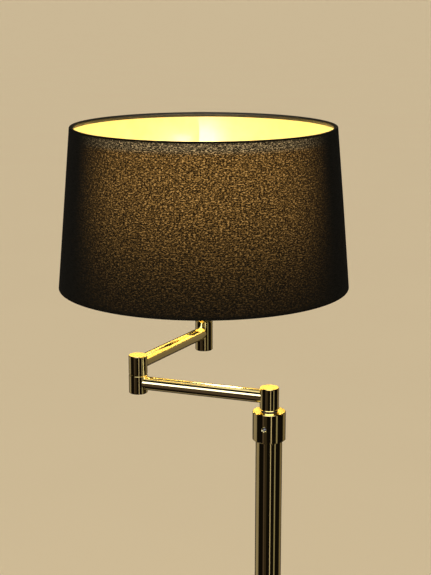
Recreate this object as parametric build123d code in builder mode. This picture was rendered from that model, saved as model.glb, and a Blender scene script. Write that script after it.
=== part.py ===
from build123d import *
import os
from math import asin, cos, degrees, radians, sin

# Swing-arm floor lamp: a weighted round base, a tall brass stem, two swivelling
# arms one above the other, and a tapered drum shade over an E27 lampholder.
# Millimetres. The floor is z = 0 and the stem stands on the Z axis; the lamp is
# looked at from its front, along +Y, with +X to the right.

os.makedirs("parts", exist_ok=True)

# ---- driving dimensions: heights -------------------------------------------------
COLLAR_TOP = 1085.0          # top face of the collar that crowns the stem
LOWER_ARM_Z = COLLAR_TOP + 17.2
UPPER_ARM_Z = COLLAR_TOP + 41.4
SHADE_BOTTOM = COLLAR_TOP + 105.0
SHADE_HEIGHT = 210.0
SHADE_TOP = SHADE_BOTTOM + SHADE_HEIGHT

# ---- driving dimensions: arms ----------------------------------------------------
ARM_LENGTH = 169.0           # pivot axis to pivot axis, the same on both arms
LOWER_AZIMUTH = 159.5        # stored direction of the lower arm, from +X
UPPER_AZIMUTH = 62.0         # stored direction of the upper arm, from +X
ARM_D = 16.5
ARM_WALL = 1.2
PIVOT_D = 23.0               # every pivot housing and the lamp post
PIVOT_R = PIVOT_D / 2
EDGE = 0.6                   # broken edge on the turned brass

LOWER_DIR = Vector(cos(radians(LOWER_AZIMUTH)), sin(radians(LOWER_AZIMUTH)), 0)
UPPER_DIR = Vector(cos(radians(UPPER_AZIMUTH)), sin(radians(UPPER_AZIMUTH)), 0)
ELBOW = LOWER_DIR * ARM_LENGTH
LAMP = ELBOW + UPPER_DIR * ARM_LENGTH
UP = Vector(0, 0, 1)

# ---- driving dimensions: running parts -------------------------------------------
SPINDLE_D = 12.0
RUNNING_FIT = 0.05           # radial clearance of a shaft in its bore
SWIVEL_GAP = 0.2             # between flat faces that turn over each other
BORE_D = 7.5                 # wire way through spindle and pin
CAVITY_D = 15.0              # wire chamber inside each housing
SIDE_HOLE_D = 11.0           # wire way from a chamber into an arm
CAP_D = 18.0
CAP_T = 2.5
LEAD_D = 5.0
LEAD_BEND = 9.5

# ---- driving dimensions: stem and base -------------------------------------------
STEM_D = 31.8
STEM_WALL = 1.6
COLLAR_D = 39.5
COLLAR_H = 35.2
COLLAR_ROOF = 4.0
BASE_D = 280.0
PAD_T = 3.0
PAD_D = 262.0
COVER_T = 1.5
COVER_RIM_Z = 2.0            # the spun cover stops just above the floor
COVER_SHOULDER_Z = 17.0
COVER_LAND_Z = 27.5          # flat land that the stem foot stands on
LAND_D = 66.0
WEIGHT_D = 268.0
WEIGHT_EDGE_Z = 14.5
CHANNEL_W = 10.0
CHANNEL_TOP = 13.5
LEAD_Z = 8.5                 # height of the lead in the base channel
SCREW_D = 5.0
SCREW_CIRCLE_R = 23.0
GRUB_D = 5.0

COVER_LAND_UNDER = COVER_LAND_Z - COVER_T


def finish(builder, name):
    """Label a finished sub-part and write its STEP file."""
    builder.part.label = name
    export_step(builder.part, f"parts/{name}.step")


def arm_plane(origin, direction):
    """Upright plane through an arm: local X runs along the arm, local Y is up."""
    return Plane(origin=(origin.X, origin.Y, 0), x_dir=direction, z_dir=direction.cross(UP))


# ================================ STAND (root body) ================================

# Felt disc glued under the whole base.
with BuildPart() as base_pad:
    with BuildSketch():
        Circle(PAD_D / 2)
    extrude(amount=PAD_T)
finish(base_pad, "base_pad")

# Cast weight: a low cone with a wire channel to the back and three screw holes.
HEAD_D = 9.0
HEAD_H = 5.0
HEAD_TOP = 10.5
SCREW_CLEAR_D = 5.6
SCREW_END = COVER_LAND_Z + 5.0
CENTRE_BORE_D = 16.0
with BuildPart() as base_weight:
    with BuildSketch(Plane.XZ):
        with BuildLine():
            Polyline(
                (0, PAD_T),
                (WEIGHT_D / 2, PAD_T),
                (WEIGHT_D / 2, WEIGHT_EDGE_Z),
                (LAND_D / 2 - 1.0, COVER_LAND_UNDER),
                (0, COVER_LAND_UNDER),
                close=True,
            )
        make_face()
    revolve(axis=Axis.Z)
    with BuildSketch(Plane.XY.offset(PAD_T)):
        Circle(CENTRE_BORE_D / 2)
    extrude(amount=COVER_LAND_UNDER, mode=Mode.SUBTRACT)
    with BuildSketch(Plane.XY.offset(PAD_T)):
        with Locations((0, WEIGHT_D / 4)):
            Rectangle(CHANNEL_W, WEIGHT_D / 2)
    extrude(amount=CHANNEL_TOP - PAD_T, mode=Mode.SUBTRACT)
    with BuildSketch(Plane.XY.offset(PAD_T)):
        with PolarLocations(SCREW_CIRCLE_R, 3, start_angle=30):
            Circle(SCREW_CLEAR_D / 2)
    extrude(amount=COVER_LAND_UNDER, mode=Mode.SUBTRACT)
    with BuildSketch(Plane.XY.offset(PAD_T)):
        with PolarLocations(SCREW_CIRCLE_R, 3, start_angle=30):
            Circle(HEAD_D / 2 + 0.75)
    extrude(amount=HEAD_TOP - PAD_T, mode=Mode.SUBTRACT)
finish(base_weight, "base_weight")

# Spun brass cover: a shell with a rounded shoulder, open underneath.
GLAND_BODY_D = 9.0
with BuildPart() as base_cover:
    with BuildSketch(Plane.XZ):
        with BuildLine():
            Polyline(
                (0, COVER_RIM_Z),
                (BASE_D / 2, COVER_RIM_Z),
                (BASE_D / 2, COVER_SHOULDER_Z),
                (LAND_D / 2, COVER_LAND_Z),
                (0, COVER_LAND_Z),
                close=True,
            )
        make_face()
    revolve(axis=Axis.Z)
    rim_edges = base_cover.edges().filter_by(GeomType.CIRCLE).sort_by(SortBy.RADIUS)[-2:]
    fillet(rim_edges.sort_by(Axis.Z)[-1], radius=8)
    offset(amount=-COVER_T, openings=base_cover.faces().sort_by(Axis.Z)[0])
    with BuildSketch(Plane.XY.offset(COVER_LAND_UNDER - 1)):
        Circle(CENTRE_BORE_D / 2)
        with PolarLocations(SCREW_CIRCLE_R, 3, start_angle=30):
            Circle(SCREW_CLEAR_D / 2)
    extrude(amount=COVER_T + 2, mode=Mode.SUBTRACT)
    with BuildSketch(Plane(origin=(0, BASE_D / 2 - 10, LEAD_Z), z_dir=(0, 1, 0))):
        Circle(GLAND_BODY_D / 2)
    extrude(amount=20, mode=Mode.SUBTRACT)
finish(base_cover, "base_cover")

# Three socket-head screws that draw the stem foot down through cover and weight.
with BuildPart() as foot_screws:
    with BuildSketch(Plane.XY.offset(HEAD_TOP - HEAD_H)):
        with PolarLocations(SCREW_CIRCLE_R, 3, start_angle=30):
            Circle(HEAD_D / 2)
    extrude(amount=HEAD_H)
    with BuildSketch(Plane.XY.offset(HEAD_TOP)):
        with PolarLocations(SCREW_CIRCLE_R, 3, start_angle=30):
            Circle(SCREW_D / 2)
    extrude(amount=SCREW_END - HEAD_TOP)
    with BuildSketch(Plane.XY.offset(HEAD_TOP - HEAD_H)):
        with PolarLocations(SCREW_CIRCLE_R, 3, start_angle=30):
            RegularPolygon(2.3, 6)
    extrude(amount=2.6, mode=Mode.SUBTRACT)
finish(foot_screws, "foot_screws")

# Turned brass foot: a flange with a hollow curve up to the socket for the stem.
FOOT_FLANGE_D = 62.0
FOOT_FLANGE_H = 5.5
FOOT_BOSS_D = 43.0
FOOT_H = 25.0
FOOT_SHELF = 5.5
FOOT_GRUB_Z = COVER_LAND_Z + 18.5
STEM_BOTTOM = COVER_LAND_Z + FOOT_SHELF
COVE = (FOOT_FLANGE_D - FOOT_BOSS_D) / 2 - 1.0
with BuildPart() as stem_foot:
    with BuildSketch(Plane.XZ):
        with BuildLine():
            flange = Polyline(
                (0, COVER_LAND_Z),
                (FOOT_FLANGE_D / 2, COVER_LAND_Z),
                (FOOT_FLANGE_D / 2, COVER_LAND_Z + FOOT_FLANGE_H),
                (FOOT_BOSS_D / 2 + COVE, COVER_LAND_Z + FOOT_FLANGE_H),
            )
            hollow = TangentArc(
                flange @ 1, (FOOT_BOSS_D / 2, COVER_LAND_Z + FOOT_FLANGE_H + COVE), tangent=(-1, 0)
            )
            Polyline(
                hollow @ 1,
                (FOOT_BOSS_D / 2, COVER_LAND_Z + FOOT_H),
                (0, COVER_LAND_Z + FOOT_H),
                (0, COVER_LAND_Z),
            )
        make_face()
    revolve(axis=Axis.Z)
    chamfer(stem_foot.edges().filter_by(GeomType.CIRCLE).group_by(Axis.Z)[-1], length=1.0)
    with BuildSketch(Plane.XY.offset(STEM_BOTTOM)):
        Circle(STEM_D / 2)
    extrude(amount=FOOT_H, mode=Mode.SUBTRACT)
    with BuildSketch(Plane.XY.offset(COVER_LAND_Z)):
        Circle(CENTRE_BORE_D / 2 - 1)
    extrude(amount=FOOT_H, mode=Mode.SUBTRACT)
    with BuildSketch(Plane.XY.offset(COVER_LAND_Z)):
        with PolarLocations(SCREW_CIRCLE_R, 3, start_angle=30):
            Circle(SCREW_D / 2)
    extrude(amount=SCREW_END - COVER_LAND_Z, mode=Mode.SUBTRACT)
    with BuildSketch(Plane(origin=(0, 0, FOOT_GRUB_Z), z_dir=(0, 1, 0))):
        Circle(GRUB_D / 2)
    extrude(amount=FOOT_FLANGE_D, mode=Mode.SUBTRACT)
finish(stem_foot, "stem_foot")

# Grub screw that locks the stem in its foot, at the back.
with BuildPart() as foot_grub_screw:
    with BuildSketch(Plane(origin=(0, STEM_D / 2, FOOT_GRUB_Z), z_dir=(0, 1, 0))):
        Circle(GRUB_D / 2)
    extrude(amount=4.4)
    with BuildSketch(Plane(origin=(0, STEM_D / 2 + 4.4, FOOT_GRUB_Z), z_dir=(0, -1, 0))):
        RegularPolygon(1.45, 6)
    extrude(amount=2.4, mode=Mode.SUBTRACT)
finish(foot_grub_screw, "foot_grub_screw")

# Rubber gland in the back of the rim: the mains cord passes through its bore.
GLAND_BORE_R = 2.9
GLAND_INSIDE_Y = BASE_D / 2 - 12
GLAND_FLANGE_D = 12.6
GLAND_FLANGE_T = 2.4
with BuildPart() as cable_gland:
    with BuildSketch(Plane(origin=(0, GLAND_INSIDE_Y, LEAD_Z), z_dir=(0, 1, 0))):
        Circle(GLAND_BODY_D / 2)
    extrude(amount=BASE_D / 2 - GLAND_INSIDE_Y)
    with BuildSketch(Plane(origin=(0, BASE_D / 2, LEAD_Z), z_dir=(0, 1, 0))):
        Circle(GLAND_FLANGE_D / 2)
    extrude(amount=GLAND_FLANGE_T)
    fillet(cable_gland.edges().filter_by(GeomType.CIRCLE).group_by(Axis.Y)[-1], radius=0.9)
    with BuildSketch(Plane(origin=(0, GLAND_INSIDE_Y, LEAD_Z), z_dir=(0, 1, 0))):
        Circle(GLAND_BORE_R)
    extrude(amount=20, mode=Mode.SUBTRACT)
finish(cable_gland, "cable_gland")

# Stem tube, from the shelf in the foot up to the roof of the collar.
STEM_TOP = COLLAR_TOP - COLLAR_ROOF
GRUB_AZIMUTH = 250.0
GRUB_DIR = Vector(cos(radians(GRUB_AZIMUTH)), sin(radians(GRUB_AZIMUTH)), 0)
GRUB_Z = COLLAR_TOP - COLLAR_H / 2
GRUB_PLANE = Plane(origin=(0, 0, GRUB_Z), z_dir=GRUB_DIR)
with BuildPart() as stem_tube:
    with BuildSketch(Plane.XY.offset(STEM_BOTTOM)):
        Circle(STEM_D / 2)
        Circle(STEM_D / 2 - STEM_WALL, mode=Mode.SUBTRACT)
    extrude(amount=STEM_TOP - STEM_BOTTOM)
    with BuildSketch(GRUB_PLANE):
        Circle(GRUB_D / 2)
    extrude(amount=COLLAR_D, mode=Mode.SUBTRACT)
finish(stem_tube, "stem_tube")

# Collar: a heavier brass sleeve round the top of the stem, with a roof.
COLLAR_BORE_D = SPINDLE_D + 1.0
GRUB_HOLE_D = 5.4
GRUB_SINK_D = 6.8            # mouth of the hole, countersunk
SINK_DEPTH = (GRUB_SINK_D - GRUB_HOLE_D) / 2
with BuildPart() as stem_collar:
    with BuildSketch(Plane.XY.offset(COLLAR_TOP - COLLAR_H)):
        Circle(COLLAR_D / 2)
    extrude(amount=COLLAR_H)
    chamfer(stem_collar.edges().filter_by(GeomType.CIRCLE), length=0.7)
    with BuildSketch(Plane.XY.offset(COLLAR_TOP - COLLAR_H)):
        Circle(STEM_D / 2)
    extrude(amount=COLLAR_H - COLLAR_ROOF, mode=Mode.SUBTRACT)
    with BuildSketch(Plane.XY.offset(STEM_TOP)):
        Circle(COLLAR_BORE_D / 2)
    extrude(amount=COLLAR_ROOF, mode=Mode.SUBTRACT)
    with BuildSketch(GRUB_PLANE):
        Circle(GRUB_HOLE_D / 2)
    extrude(amount=COLLAR_D, mode=Mode.SUBTRACT)
    with BuildSketch(GRUB_PLANE.offset(COLLAR_D / 2)):
        Circle(GRUB_SINK_D / 2)
    extrude(amount=-SINK_DEPTH, taper=45, mode=Mode.SUBTRACT)
finish(stem_collar, "stem_collar")

# Bearing bush pressed into the stem's top: the shoulder spindle turns in it.
SOCKET_H = 28.0
with BuildPart() as swivel_socket:
    with BuildSketch(Plane.XY.offset(STEM_TOP - SOCKET_H)):
        Circle(STEM_D / 2 - STEM_WALL)
        Circle(SPINDLE_D / 2 + RUNNING_FIT, mode=Mode.SUBTRACT)
    extrude(amount=SOCKET_H)
    with BuildSketch(GRUB_PLANE):
        Circle(GRUB_D / 2)
    extrude(amount=COLLAR_D, mode=Mode.SUBTRACT)
finish(swivel_socket, "swivel_socket")

# Dog-point grub screw: its tip keeps the spindle in and stops its turn.
TIP_D = 3.0
TIP_REACH = 5.1              # distance of the tip from the stem's axis
GRUB_INNER = SPINDLE_D / 2 + 0.6
GRUB_OUTER = COLLAR_D / 2 - 1.7
with BuildPart() as collar_grub_screw:
    with BuildSketch(GRUB_PLANE.offset(GRUB_INNER)):
        Circle(GRUB_D / 2)
    extrude(amount=GRUB_OUTER - GRUB_INNER)
    with BuildSketch(GRUB_PLANE.offset(TIP_REACH)):
        Circle(TIP_D / 2)
    extrude(amount=GRUB_INNER - TIP_REACH)
    with BuildSketch(GRUB_PLANE.offset(GRUB_OUTER - 2.4)):
        RegularPolygon(1.45, 6)
    extrude(amount=2.4, mode=Mode.SUBTRACT)
finish(collar_grub_screw, "collar_grub_screw")

# Dark fibre washer on the collar: the friction face of the shoulder.
NECK_H = 2.6                 # gap between collar and housing that washer and neck fill
WASHER_T = 1.2
WASHER_D = 20.0
with BuildPart() as shoulder_washer:
    with BuildSketch(Plane.XY.offset(COLLAR_TOP)):
        Circle(WASHER_D / 2)
        Circle(COLLAR_BORE_D / 2, mode=Mode.SUBTRACT)
    extrude(amount=WASHER_T)
finish(shoulder_washer, "shoulder_washer")

# Two-core lead inside the base and the stem, up to the shoulder spindle.
SPINDLE_BOTTOM = STEM_TOP - SOCKET_H + 3.0
STEM_LEAD_BEND = 11.0
BACK_PLANE = Plane(origin=(0, 0, 0), x_dir=(0, 1, 0), z_dir=(1, 0, 0))
with BuildPart() as stem_lead:
    with BuildLine(BACK_PLANE) as stem_route:
        FilletPolyline(
            (GLAND_INSIDE_Y - 1.0, LEAD_Z),
            (0, LEAD_Z),
            (0, SPINDLE_BOTTOM - 0.5),
            radius=STEM_LEAD_BEND,
        )
    with BuildSketch(Plane(origin=stem_route.line @ 0, z_dir=stem_route.line % 0)):
        Circle(LEAD_D / 2)
    sweep(path=stem_route.line)
finish(stem_lead, "stem_lead")

# ================================ LOWER ARM ========================================

SHOULDER_BOTTOM = COLLAR_TOP + NECK_H
SHOULDER_TOP = COLLAR_TOP + 29.0
HOUSING_FLOOR = 3.4
ELBOW_BOTTOM = COLLAR_TOP + 4.6
ELBOW_SPLIT = COLLAR_TOP + 28.0
ELBOW_TOP = COLLAR_TOP + 52.1
RING_T = 1.0                 # bright washer seen as a ring between the elbow's halves
LOWER_HALF_TOP = ELBOW_SPLIT - RING_T / 2
RING_TOP = ELBOW_SPLIT + RING_T / 2
UPPER_HALF_BOTTOM = RING_TOP + SWIVEL_GAP

# Hollow spindle: carries the shoulder and turns in the bush. Its groove runs most
# of the way round, and the rib that is left meets the grub screw's tip.
SHOULDER_TRAVEL = 150.0      # each way from the stored position
GROOVE_FLOOR_R = 4.7
GROOVE_W = TIP_D + 0.8
TIP_HALF_ANGLE = degrees(asin((TIP_D / 2 + 0.3) / TIP_REACH))
RIB_ANGLE = 360 - 2 * (SHOULDER_TRAVEL + TIP_HALF_ANGLE)
with BuildPart() as shoulder_spindle:
    with BuildSketch(Plane.XY.offset(SPINDLE_BOTTOM)):
        Circle(SPINDLE_D / 2)
    extrude(amount=SHOULDER_BOTTOM + HOUSING_FLOOR - SPINDLE_BOTTOM)
    with BuildSketch(
        Plane(
            origin=(0, 0, 0),
            x_dir=Vector(1, 0, 0).rotate(Axis.Z, GRUB_AZIMUTH + 180 + RIB_ANGLE / 2),
            z_dir=Vector(0, -1, 0).rotate(Axis.Z, GRUB_AZIMUTH + 180 + RIB_ANGLE / 2),
        )
    ):
        with Locations(((GROOVE_FLOOR_R + SPINDLE_D) / 2, GRUB_Z)):
            Rectangle(SPINDLE_D - GROOVE_FLOOR_R, GROOVE_W)
    revolve(axis=Axis.Z, revolution_arc=360 - RIB_ANGLE, mode=Mode.SUBTRACT)
    with BuildSketch(Plane.XY.offset(SPINDLE_BOTTOM)):
        Circle(BORE_D / 2)
    extrude(amount=COLLAR_H, mode=Mode.SUBTRACT)
finish(shoulder_spindle, "shoulder_spindle")

# Shoulder housing: turned from bar, with a short neck above the washer.
with BuildPart() as shoulder_housing:
    with BuildSketch(Plane.XY.offset(SHOULDER_BOTTOM)):
        Circle(PIVOT_R)
    extrude(amount=SHOULDER_TOP - SHOULDER_BOTTOM)
    chamfer(shoulder_housing.edges().filter_by(GeomType.CIRCLE), length=EDGE)
    with BuildSketch(Plane.XY.offset(COLLAR_TOP + WASHER_T + SWIVEL_GAP)):
        Circle(WASHER_D / 2 - 0.8)
    extrude(amount=NECK_H - WASHER_T - SWIVEL_GAP)
    with BuildSketch(Plane.XY.offset(COLLAR_TOP)):
        Circle(SPINDLE_D / 2)
    extrude(amount=NECK_H + HOUSING_FLOOR, mode=Mode.SUBTRACT)
    with BuildSketch(Plane.XY.offset(SHOULDER_BOTTOM + HOUSING_FLOOR)):
        Circle(CAVITY_D / 2)
    extrude(amount=SHOULDER_TOP, mode=Mode.SUBTRACT)
    with BuildSketch(Plane.XY.offset(SHOULDER_TOP - CAP_T)):
        Circle(CAP_D / 2)
    extrude(amount=CAP_T, mode=Mode.SUBTRACT)
    with BuildSketch(Plane(origin=(0, 0, LOWER_ARM_Z), z_dir=LOWER_DIR)):
        Circle(SIDE_HOLE_D / 2)
    extrude(amount=PIVOT_D, mode=Mode.SUBTRACT)
finish(shoulder_housing, "shoulder_housing")

# Flush cap that closes the shoulder's wire chamber.
with BuildPart() as shoulder_cap:
    with BuildSketch(Plane.XY.offset(SHOULDER_TOP - CAP_T)):
        Circle(CAP_D / 2)
    extrude(amount=CAP_T)
finish(shoulder_cap, "shoulder_cap")

# Lower arm: a round tube coped at both ends to the round housings.
with BuildPart() as lower_arm_tube:
    with BuildSketch(Plane(origin=(0, 0, LOWER_ARM_Z), z_dir=LOWER_DIR)):
        Circle(ARM_D / 2)
        Circle(ARM_D / 2 - ARM_WALL, mode=Mode.SUBTRACT)
    extrude(amount=ARM_LENGTH)
    with BuildSketch(Plane.XY.offset(LOWER_ARM_Z - ARM_D)):
        with Locations((0, 0), (ELBOW.X, ELBOW.Y)):
            Circle(PIVOT_R)
    extrude(amount=2 * ARM_D, mode=Mode.SUBTRACT)
finish(lower_arm_tube, "lower_arm_tube")

# Lower half of the elbow: chamber open below, threaded roof for the pin.
ELBOW_ROOF = 3.6
with BuildPart() as elbow_lower_housing:
    with BuildSketch(Plane.XY.offset(ELBOW_BOTTOM)):
        with Locations((ELBOW.X, ELBOW.Y)):
            Circle(PIVOT_R)
    extrude(amount=LOWER_HALF_TOP - ELBOW_BOTTOM)
    chamfer(elbow_lower_housing.edges().filter_by(GeomType.CIRCLE), length=EDGE)
    with BuildSketch(Plane.XY.offset(ELBOW_BOTTOM)):
        with Locations((ELBOW.X, ELBOW.Y)):
            Circle(CAVITY_D / 2)
    extrude(amount=LOWER_HALF_TOP - ELBOW_ROOF - ELBOW_BOTTOM, mode=Mode.SUBTRACT)
    with BuildSketch(Plane.XY.offset(ELBOW_BOTTOM)):
        with Locations((ELBOW.X, ELBOW.Y)):
            Circle(CAP_D / 2)
    extrude(amount=CAP_T, mode=Mode.SUBTRACT)
    with BuildSketch(Plane.XY.offset(LOWER_HALF_TOP - ELBOW_ROOF)):
        with Locations((ELBOW.X, ELBOW.Y)):
            Circle(SPINDLE_D / 2)
    extrude(amount=ELBOW_ROOF, mode=Mode.SUBTRACT)
    with BuildSketch(Plane(origin=(ELBOW.X, ELBOW.Y, LOWER_ARM_Z), z_dir=-LOWER_DIR)):
        Circle(SIDE_HOLE_D / 2)
    extrude(amount=PIVOT_D, mode=Mode.SUBTRACT)
finish(elbow_lower_housing, "elbow_lower_housing")

# Flush cap in the underside of the elbow.
with BuildPart() as elbow_bottom_cap:
    with BuildSketch(Plane.XY.offset(ELBOW_BOTTOM)):
        with Locations((ELBOW.X, ELBOW.Y)):
            Circle(CAP_D / 2)
    extrude(amount=CAP_T)
finish(elbow_bottom_cap, "elbow_bottom_cap")

# Hollow pin, screwed into the lower half; the upper half turns on it.
UPPER_FLOOR = 3.0
UPPER_FLOOR_TOP = UPPER_HALF_BOTTOM + UPPER_FLOOR
SPRING_T = 0.5
NUT_H = 2.2
NUT_BOTTOM = UPPER_FLOOR_TOP + SWIVEL_GAP + SPRING_T
PIN_TOP = NUT_BOTTOM + NUT_H
with BuildPart() as elbow_pin:
    with BuildSketch(Plane.XY.offset(LOWER_HALF_TOP - ELBOW_ROOF)):
        with Locations((ELBOW.X, ELBOW.Y)):
            Circle(SPINDLE_D / 2)
            Circle(BORE_D / 2, mode=Mode.SUBTRACT)
    extrude(amount=PIN_TOP - LOWER_HALF_TOP + ELBOW_ROOF)
finish(elbow_pin, "elbow_pin")

# Bright washer between the elbow's two halves.
with BuildPart() as elbow_ring:
    with BuildSketch(Plane.XY.offset(LOWER_HALF_TOP)):
        with Locations((ELBOW.X, ELBOW.Y)):
            Circle(PIVOT_R - 0.35)
            Circle(SPINDLE_D / 2, mode=Mode.SUBTRACT)
    extrude(amount=RING_T)
finish(elbow_ring, "elbow_ring")

# Spring washer under the nut: it sets how firmly the elbow turns.
with BuildPart() as elbow_spring_washer:
    with BuildSketch(Plane.XY.offset(UPPER_FLOOR_TOP + SWIVEL_GAP)):
        with Locations((ELBOW.X, ELBOW.Y)):
            Circle(CAVITY_D / 2 - 0.7)
            Circle(SPINDLE_D / 2, mode=Mode.SUBTRACT)
    extrude(amount=SPRING_T)
finish(elbow_spring_washer, "elbow_spring_washer")

# Thin round nut with two key slots, on the pin's upper end.
with BuildPart() as elbow_nut:
    with BuildSketch(Plane.XY.offset(NUT_BOTTOM)):
        with Locations((ELBOW.X, ELBOW.Y)):
            Circle(CAVITY_D / 2 - 0.6)
            Circle(SPINDLE_D / 2, mode=Mode.SUBTRACT)
        with Locations((ELBOW.X, ELBOW.Y + CAVITY_D / 2 - 0.7), (ELBOW.X, ELBOW.Y - CAVITY_D / 2 + 0.7)):
            Rectangle(2.0, 0.8, mode=Mode.SUBTRACT)
    extrude(amount=NUT_H)
finish(elbow_nut, "elbow_nut")

# Lead through the spindle, along the lower arm and up to the elbow's split.
LEAD_SPLIT = ELBOW_SPLIT + 1.2
with BuildPart() as lower_arm_lead:
    with BuildLine(arm_plane(Vector(0, 0, 0), LOWER_DIR)) as lower_route:
        FilletPolyline(
            (0, SPINDLE_BOTTOM),
            (0, LOWER_ARM_Z),
            (ARM_LENGTH, LOWER_ARM_Z),
            (ARM_LENGTH, LEAD_SPLIT - 0.5),
            radius=LEAD_BEND,
        )
    with BuildSketch(Plane(origin=lower_route.line @ 0, z_dir=lower_route.line % 0)):
        Circle(LEAD_D / 2)
    sweep(path=lower_route.line)
finish(lower_arm_lead, "lower_arm_lead")

# ================================ UPPER ARM AND LAMP ===============================

POST_BOTTOM = COLLAR_TOP + 17.8
POST_TOP = COLLAR_TOP + 57.4
POST_ROOF = 4.4

# Upper half of the elbow: floor bored to turn on the pin, chamber open above.
with BuildPart() as elbow_upper_housing:
    with BuildSketch(Plane.XY.offset(UPPER_HALF_BOTTOM)):
        with Locations((ELBOW.X, ELBOW.Y)):
            Circle(PIVOT_R)
    extrude(amount=ELBOW_TOP - UPPER_HALF_BOTTOM)
    chamfer(elbow_upper_housing.edges().filter_by(GeomType.CIRCLE), length=EDGE)
    with BuildSketch(Plane.XY.offset(UPPER_HALF_BOTTOM)):
        with Locations((ELBOW.X, ELBOW.Y)):
            Circle(SPINDLE_D / 2 + RUNNING_FIT)
    extrude(amount=UPPER_FLOOR, mode=Mode.SUBTRACT)
    with BuildSketch(Plane.XY.offset(UPPER_FLOOR_TOP)):
        with Locations((ELBOW.X, ELBOW.Y)):
            Circle(CAVITY_D / 2)
    extrude(amount=ELBOW_TOP, mode=Mode.SUBTRACT)
    with BuildSketch(Plane.XY.offset(ELBOW_TOP - CAP_T)):
        with Locations((ELBOW.X, ELBOW.Y)):
            Circle(CAP_D / 2)
    extrude(amount=CAP_T, mode=Mode.SUBTRACT)
    with BuildSketch(Plane(origin=(ELBOW.X, ELBOW.Y, UPPER_ARM_Z), z_dir=UPPER_DIR)):
        Circle(SIDE_HOLE_D / 2)
    extrude(amount=PIVOT_D, mode=Mode.SUBTRACT)
finish(elbow_upper_housing, "elbow_upper_housing")

# Flush cap on top of the elbow.
with BuildPart() as elbow_top_cap:
    with BuildSketch(Plane.XY.offset(ELBOW_TOP - CAP_T)):
        with Locations((ELBOW.X, ELBOW.Y)):
            Circle(CAP_D / 2)
    extrude(amount=CAP_T)
finish(elbow_top_cap, "elbow_top_cap")

# Upper arm: the same tube, coped to the elbow and to the lamp post.
with BuildPart() as upper_arm_tube:
    with BuildSketch(Plane(origin=(ELBOW.X, ELBOW.Y, UPPER_ARM_Z), z_dir=UPPER_DIR)):
        Circle(ARM_D / 2)
        Circle(ARM_D / 2 - ARM_WALL, mode=Mode.SUBTRACT)
    extrude(amount=ARM_LENGTH)
    with BuildSketch(Plane.XY.offset(UPPER_ARM_Z - ARM_D)):
        with Locations((ELBOW.X, ELBOW.Y), (LAMP.X, LAMP.Y)):
            Circle(PIVOT_R)
    extrude(amount=2 * ARM_D, mode=Mode.SUBTRACT)
finish(upper_arm_tube, "upper_arm_tube")

# Lamp post: the longer upright housing that carries the lampholder.
NIPPLE_D = 10.0
with BuildPart() as lamp_post:
    with BuildSketch(Plane.XY.offset(POST_BOTTOM)):
        with Locations((LAMP.X, LAMP.Y)):
            Circle(PIVOT_R)
    extrude(amount=POST_TOP - POST_BOTTOM)
    chamfer(lamp_post.edges().filter_by(GeomType.CIRCLE), length=EDGE)
    with BuildSketch(Plane.XY.offset(POST_BOTTOM)):
        with Locations((LAMP.X, LAMP.Y)):
            Circle(CAVITY_D / 2)
    extrude(amount=POST_TOP - POST_ROOF - POST_BOTTOM, mode=Mode.SUBTRACT)
    with BuildSketch(Plane.XY.offset(POST_BOTTOM)):
        with Locations((LAMP.X, LAMP.Y)):
            Circle(CAP_D / 2)
    extrude(amount=CAP_T, mode=Mode.SUBTRACT)
    with BuildSketch(Plane.XY.offset(POST_BOTTOM)):
        with Locations((LAMP.X, LAMP.Y)):
            Circle(NIPPLE_D / 2)
    extrude(amount=POST_TOP, mode=Mode.SUBTRACT)
    with BuildSketch(Plane(origin=(LAMP.X, LAMP.Y, UPPER_ARM_Z), z_dir=-UPPER_DIR)):
        Circle(SIDE_HOLE_D / 2)
    extrude(amount=PIVOT_D, mode=Mode.SUBTRACT)
finish(lamp_post, "lamp_post")

# Flush cap under the lamp post.
with BuildPart() as post_bottom_cap:
    with BuildSketch(Plane.XY.offset(POST_BOTTOM)):
        with Locations((LAMP.X, LAMP.Y)):
            Circle(CAP_D / 2)
    extrude(amount=CAP_T)
finish(post_bottom_cap, "post_bottom_cap")

# M10 hollow nipple that joins the lampholder to the post.
HOLDER_FLOOR = 2.6
LOCK_NUT_BOTTOM = POST_TOP + HOLDER_FLOOR
LOCK_NUT_H = 3.2
NIPPLE_TOP = LOCK_NUT_BOTTOM + LOCK_NUT_H + 1.0
with BuildPart() as post_nipple:
    with BuildSketch(Plane.XY.offset(POST_TOP - POST_ROOF)):
        with Locations((LAMP.X, LAMP.Y)):
            Circle(NIPPLE_D / 2)
            Circle(BORE_D / 2, mode=Mode.SUBTRACT)
    extrude(amount=NIPPLE_TOP - POST_TOP + POST_ROOF)
finish(post_nipple, "post_nipple")

# Lead through the upper arm and the post into the lampholder.
with BuildPart() as upper_arm_lead:
    with BuildLine(arm_plane(ELBOW, UPPER_DIR)) as upper_route:
        FilletPolyline(
            (0, LEAD_SPLIT),
            (0, UPPER_ARM_Z),
            (ARM_LENGTH, UPPER_ARM_Z),
            (ARM_LENGTH, NIPPLE_TOP + 1.5),
            radius=LEAD_BEND,
        )
    with BuildSketch(Plane(origin=upper_route.line @ 0, z_dir=upper_route.line % 0)):
        Circle(LEAD_D / 2)
    sweep(path=upper_route.line)
finish(upper_arm_lead, "upper_arm_lead")

# ---- lampholder ------------------------------------------------------------------
LAMP_AXIS = Axis((LAMP.X, LAMP.Y, 0), (0, 0, 1))
LAMP_SECTION = Plane(origin=(LAMP.X, LAMP.Y, 0), x_dir=(1, 0, 0), z_dir=(0, -1, 0))
HOLDER_R = 19.6
HOLDER_WALL = 2.2
HOLDER_CAP_TOP = POST_TOP + 21.0
SLEEVE_TOP = POST_TOP + 60.0
INSULATOR_BOTTOM = POST_TOP + 15.0
INSULATOR_TOP = POST_TOP + 26.0

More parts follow.
